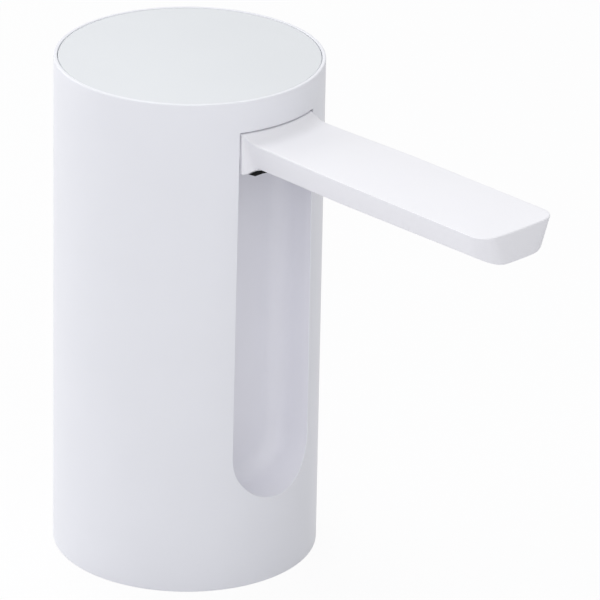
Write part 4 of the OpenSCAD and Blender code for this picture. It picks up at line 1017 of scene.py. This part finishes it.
class JUGPUMP_OT_outlet_nozzle(bpy.types.Operator):
    """Outlet nozzle: a turned cup with a round lip, and the nipple that the hose is pushed on"""

    bl_idname = "jugpump.outlet_nozzle"
    bl_label = "Outlet nozzle"
    lip_round = 0.45 * MM
    # Height of the cup's roof over the nipple's middle, and how far the nipple stops short of the bore
    roof_over = 1.0 * MM
    nipple_short = 0.2 * MM
    # The nipple's gap in the hose, its wall and the rounding of its end
    nipple_gap = 0.06 * MM
    nipple_wall = 0.69 * MM
    nipple_round = 0.3 * MM

    def execute(self, context):
        sizes = context.scene.jug_pump_sizes
        low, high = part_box("outlet_nozzle")
        middle = high.x - high.y
        bore = sizes.nozzle_bore
        roof = HINGE.z + self.roof_over
        lip = self.lip_round
        cup = lathe(eased([(0, high.z, 0), (high.y, high.z, lip), (high.y, low.z, lip), (bore, low.z, lip),
                           (bore, roof, lip), (0, roof, 0)]), 64, (middle, 0.0))
        nozzle = make_mesh("outlet_nozzle_cup", *cup)
        outer = sizes.hose_bore - self.nipple_gap
        stop = middle - bore - self.nipple_short
        profile = [(0, low.x, 0), (outer, low.x, self.nipple_round), (outer, stop, 0), (0, stop, 0)]
        nipple = lathe(eased(profile), steps=32)
        combine(nozzle, "UNION", lay_along_x(nipple, 0.0, HINGE.z))
        channel = rod(outer - self.nipple_wall, low.x - MM, middle, steps=32)
        combine(nozzle, "DIFFERENCE", lay_along_x(channel, 0.0, HINGE.z))
        dress(nozzle, "spout", "ivory_acetal", "outlet_nozzle")
        return {"FINISHED"}


class JUGPUMP_OT_heel_lip(bpy.types.Operator):
    """Heel lip: a thin black rubber lip under the root plate, with a thick heel in its middle"""

    bl_idname = "jugpump.heel_lip"
    bl_label = "Heel lip"
    # Depth of the heel's flat foot, the roundings of its foot and front, the width in which it thins at each
    # side, and the rounding of the lip's ends
    foot_depth = 0.8 * MM
    foot_round = 0.2 * MM
    front_round = 0.1 * MM
    side_fall = 1.5 * MM
    end_round = 0.06 * MM

    def execute(self, context):
        sizes = context.scene.jug_pump_sizes
        low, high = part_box("heel_bumper")
        high.z += sizes.plate_lift
        front = sizes.lip_front
        back = math.sqrt((BODY_R - sizes.plate_sink) ** 2 - high.y ** 2)
        wedge = eased([(low.x, low.z, self.foot_round), (low.x + self.foot_depth, low.z, self.foot_round),
                       (front, high.z - sizes.lip_thin, self.front_round),
                       (front, high.z + sizes.lip_rise, self.front_round),
                       (back, high.z, 0), (low.x, high.z, 0)], 3)
        ease = self.end_round
        thin = sizes.lip_thin / (high.z - low.z)
        half = (front - low.x) / 2
        side = [(sizes.heel_half, 0.0, 1.0), (sizes.heel_half + self.side_fall, 0.0, thin)]
        side += [(high.y - ease * (1 - math.sin(a)), ease * (1 - math.cos(a)), thin)
                 for a in spread(0.0, math.pi / 2, 3)]
        rings = []
        for y, inset, thick in [(-y, inset, thick) for y, inset, thick in reversed(side)] + side:
            rings.append([(mix(low.x + half, x, 1 - inset / half), y,
                           mix(high.z, z, thick if z < high.z else 1.0)) for x, z in wedge])
        dress(make_mesh("heel_lip", *skinned(rings)), "spout", "black_rubber", "heel_bumper")
        return {"FINISHED"}


class JUGPUMP_OT_hoses(bpy.types.Operator):
    """Water hoses: along the arm, across the hinge, and from the pump up to the wall fitting"""

    bl_idname = "jugpump.hoses"
    bl_label = "Hoses"
    steps_round = 28
    # Rounding of a hose's ends, and the length that it is drawn over
    end_round = 0.2 * MM
    end = 0.3 * MM

    def execute(self, context):
        sizes = context.scene.jug_pump_sizes
        end = self.end
        low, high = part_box("arm_tube")
        dress(self.hose("arm_hose", self.level(low.x, high.x, 24), sizes), "spout", "silicone", "arm_tube")
        low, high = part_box("delivery_tube")
        riser = low.x + HOSE_HIGH.y
        bend = sizes.elbow
        route = [(riser, z) for z in [low.z] + spread(low.z + end, HINGE.z - bend, 20)]
        route += [(riser + bend * (1 - math.cos(a)), HINGE.z - bend + bend * math.sin(a))
                  for a in spread(0.0, math.pi / 2, 12)[1:]]
        route += [(high.x - end, HINGE.z), (high.x, HINGE.z)]
        dress(self.hose("delivery_hose", route, sizes), "body", "silicone", "delivery_tube")
        route = self.level(HOSE_LOW.x, HOSE_HIGH.x, 36)
        flexing = dress(self.hose("hinge_hose_bend", route, sizes), None, "silicone", "hinge_hose")
        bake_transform(flexing)
        return {"FINISHED"}

    def level(self, start, stop, count):
        """A straight route at the hinge's height, with a short first and last step."""
        return [(x, HINGE.z) for x in [start] + spread(start + self.end, stop - self.end, count) + [stop]]

    def hose(self, name, route, sizes):
        """A hose along a route of (x, z) places in the middle plane, with eased ends and a clear bore."""
        count = len(route)
        outside = []
        bore = []
        for i, (x, z) in enumerate(route):
            back = Vector(route[max(i - 1, 0)])
            ahead = Vector(route[min(i + 1, count - 1)])
            along = (ahead - back).normalized()
            ease = self.end_round if i in (0, count - 1) else 0.0
            for rings, radius in ((outside, HOSE_HIGH.y - ease), (bore, sizes.hose_bore + ease)):
                rings.append([(x - along.y * radius * math.cos(turn), radius * math.sin(turn),
                               z + along.x * radius * math.cos(turn))
                              for turn in spread(0.0, math.tau, self.steps_round)[:-1]])
        return make_mesh(name, *skinned(outside + bore[::-1], looped=True))


class JUGPUMP_OT_seals(bpy.types.Operator):
    """Seals and pads: rings with round edges, and the pads that lift the press key"""

    bl_idname = "jugpump.seals"
    bl_label = "Seals and pads"
    # Inner radius of each ring, with its slot, and the rounding of its edges as a share of its height
    rings = {"foot_ring": (32.3 * MM, "black_rubber"), "neck_seal": (22.8 * MM, "silicone")}
    ring_round = 0.25
    # Bearings of the pads in degrees, the depth of their waist and the steps round them
    pad_bearings = (45, 165, 285)
    waist = 0.15 * MM
    pad_steps = 32

    def execute(self, context):
        sizes = context.scene.jug_pump_sizes
        for node, (inner, slot) in self.rings.items():
            low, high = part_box(node)
            ease = self.ring_round * (high.z - low.z)
            ring = lathe(eased([(inner, low.z, ease), (high.y, low.z, ease), (high.y, high.z, ease),
                                (inner, high.z, ease)]), steps=120)
            dress(make_mesh(f"{node}_round", *ring), "body", slot, node)
        low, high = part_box("return_pads")
        wide = sizes.pad_radius
        waist = self.waist
        outline = [(0, low.z), (wide - waist, low.z), (wide, low.z + waist)]
        outline += [(wide - waist * math.sin(math.pi * share), mix(low.z + waist, high.z - waist, share))
                    for share in spread(0.0, 1.0, 8)[1:]]
        outline += [(wide - waist, high.z), (0, high.z)]
        points = []
        faces = []
        for degrees in self.pad_bearings:
            turn = math.radians(degrees)
            place = (sizes.pad_circle * math.cos(turn), sizes.pad_circle * math.sin(turn))
            add_rings(points, faces, [turned(outline, math.tau * s / self.pad_steps, place)
                                      for s in range(self.pad_steps)], looped=True)
        pads = dress(make_mesh("return_pads_waisted", points, faces), "body", "silicone", "return_pads")
        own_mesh(pads)
        return {"FINISHED"}


class JUGPUMP_OT_kept_solids(bpy.types.Operator):
    """Give every carried-over solid the finish of its slot, and the recess liner the recess's white with
    painted light
    """

    bl_idname = "jugpump.kept_solids"
    bl_label = "Kept solids"

    def execute(self, context):
        for row in frame["record"]["subparts"]:
            item = frame["nodes"][row["node"]]
            key = NODE_FINISHES.get(row["node"], row["material_slot"])
            item.data.materials.clear()
            item.data.materials.append(finish(key, context.scene.jug_pump_colours))
        return {"FINISHED"}


GROUPS = {"jug_pump_sizes": JugPumpSizes, "jug_pump_colours": JugPumpColours, "jug_pump_stage": JugPumpStage}
PIECES = (JUGPUMP_OT_stage, JUGPUMP_OT_kept_solids, JUGPUMP_OT_outer_shell, JUGPUMP_OT_top_key,
          JUGPUMP_OT_spout_arm, JUGPUMP_OT_arm_cover, JUGPUMP_OT_outlet_nozzle, JUGPUMP_OT_heel_lip,
          JUGPUMP_OT_hoses, JUGPUMP_OT_seals)


class JUGPUMP_PT_pieces(bpy.types.Panel):
    """Lists the pieces and their settings"""

    bl_label = "Jug pump"
    bl_idname = "JUGPUMP_PT_pieces"
    bl_space_type = "VIEW_3D"
    bl_region_type = "UI"
    bl_category = "Jug pump"

    def draw(self, context):
        for piece in PIECES:
            self.layout.operator(piece.bl_idname)
        for group in GROUPS:
            settings = getattr(context.scene, group)
            for key in settings.bl_rna.properties.keys():
                if key not in ("rna_type", "name"):
                    self.layout.prop(settings, key)


def register():
    for kind in (*GROUPS.values(), *PIECES, JUGPUMP_PT_pieces):
        bpy.utils.register_class(kind)
    for name, kind in GROUPS.items():
        setattr(bpy.types.Scene, name, bpy.props.PointerProperty(type=kind))


def unregister():
    for name in GROUPS:
        delattr(bpy.types.Scene, name)
    for kind in (JUGPUMP_PT_pieces, *reversed(PIECES), *reversed(GROUPS.values())):
        bpy.utils.unregister_class(kind)


def main():
    register()
    for piece in PIECES:
        group, name = piece.bl_idname.split(".")
        getattr(getattr(bpy.ops, group), name)()


if __name__ == "__main__":
    main()
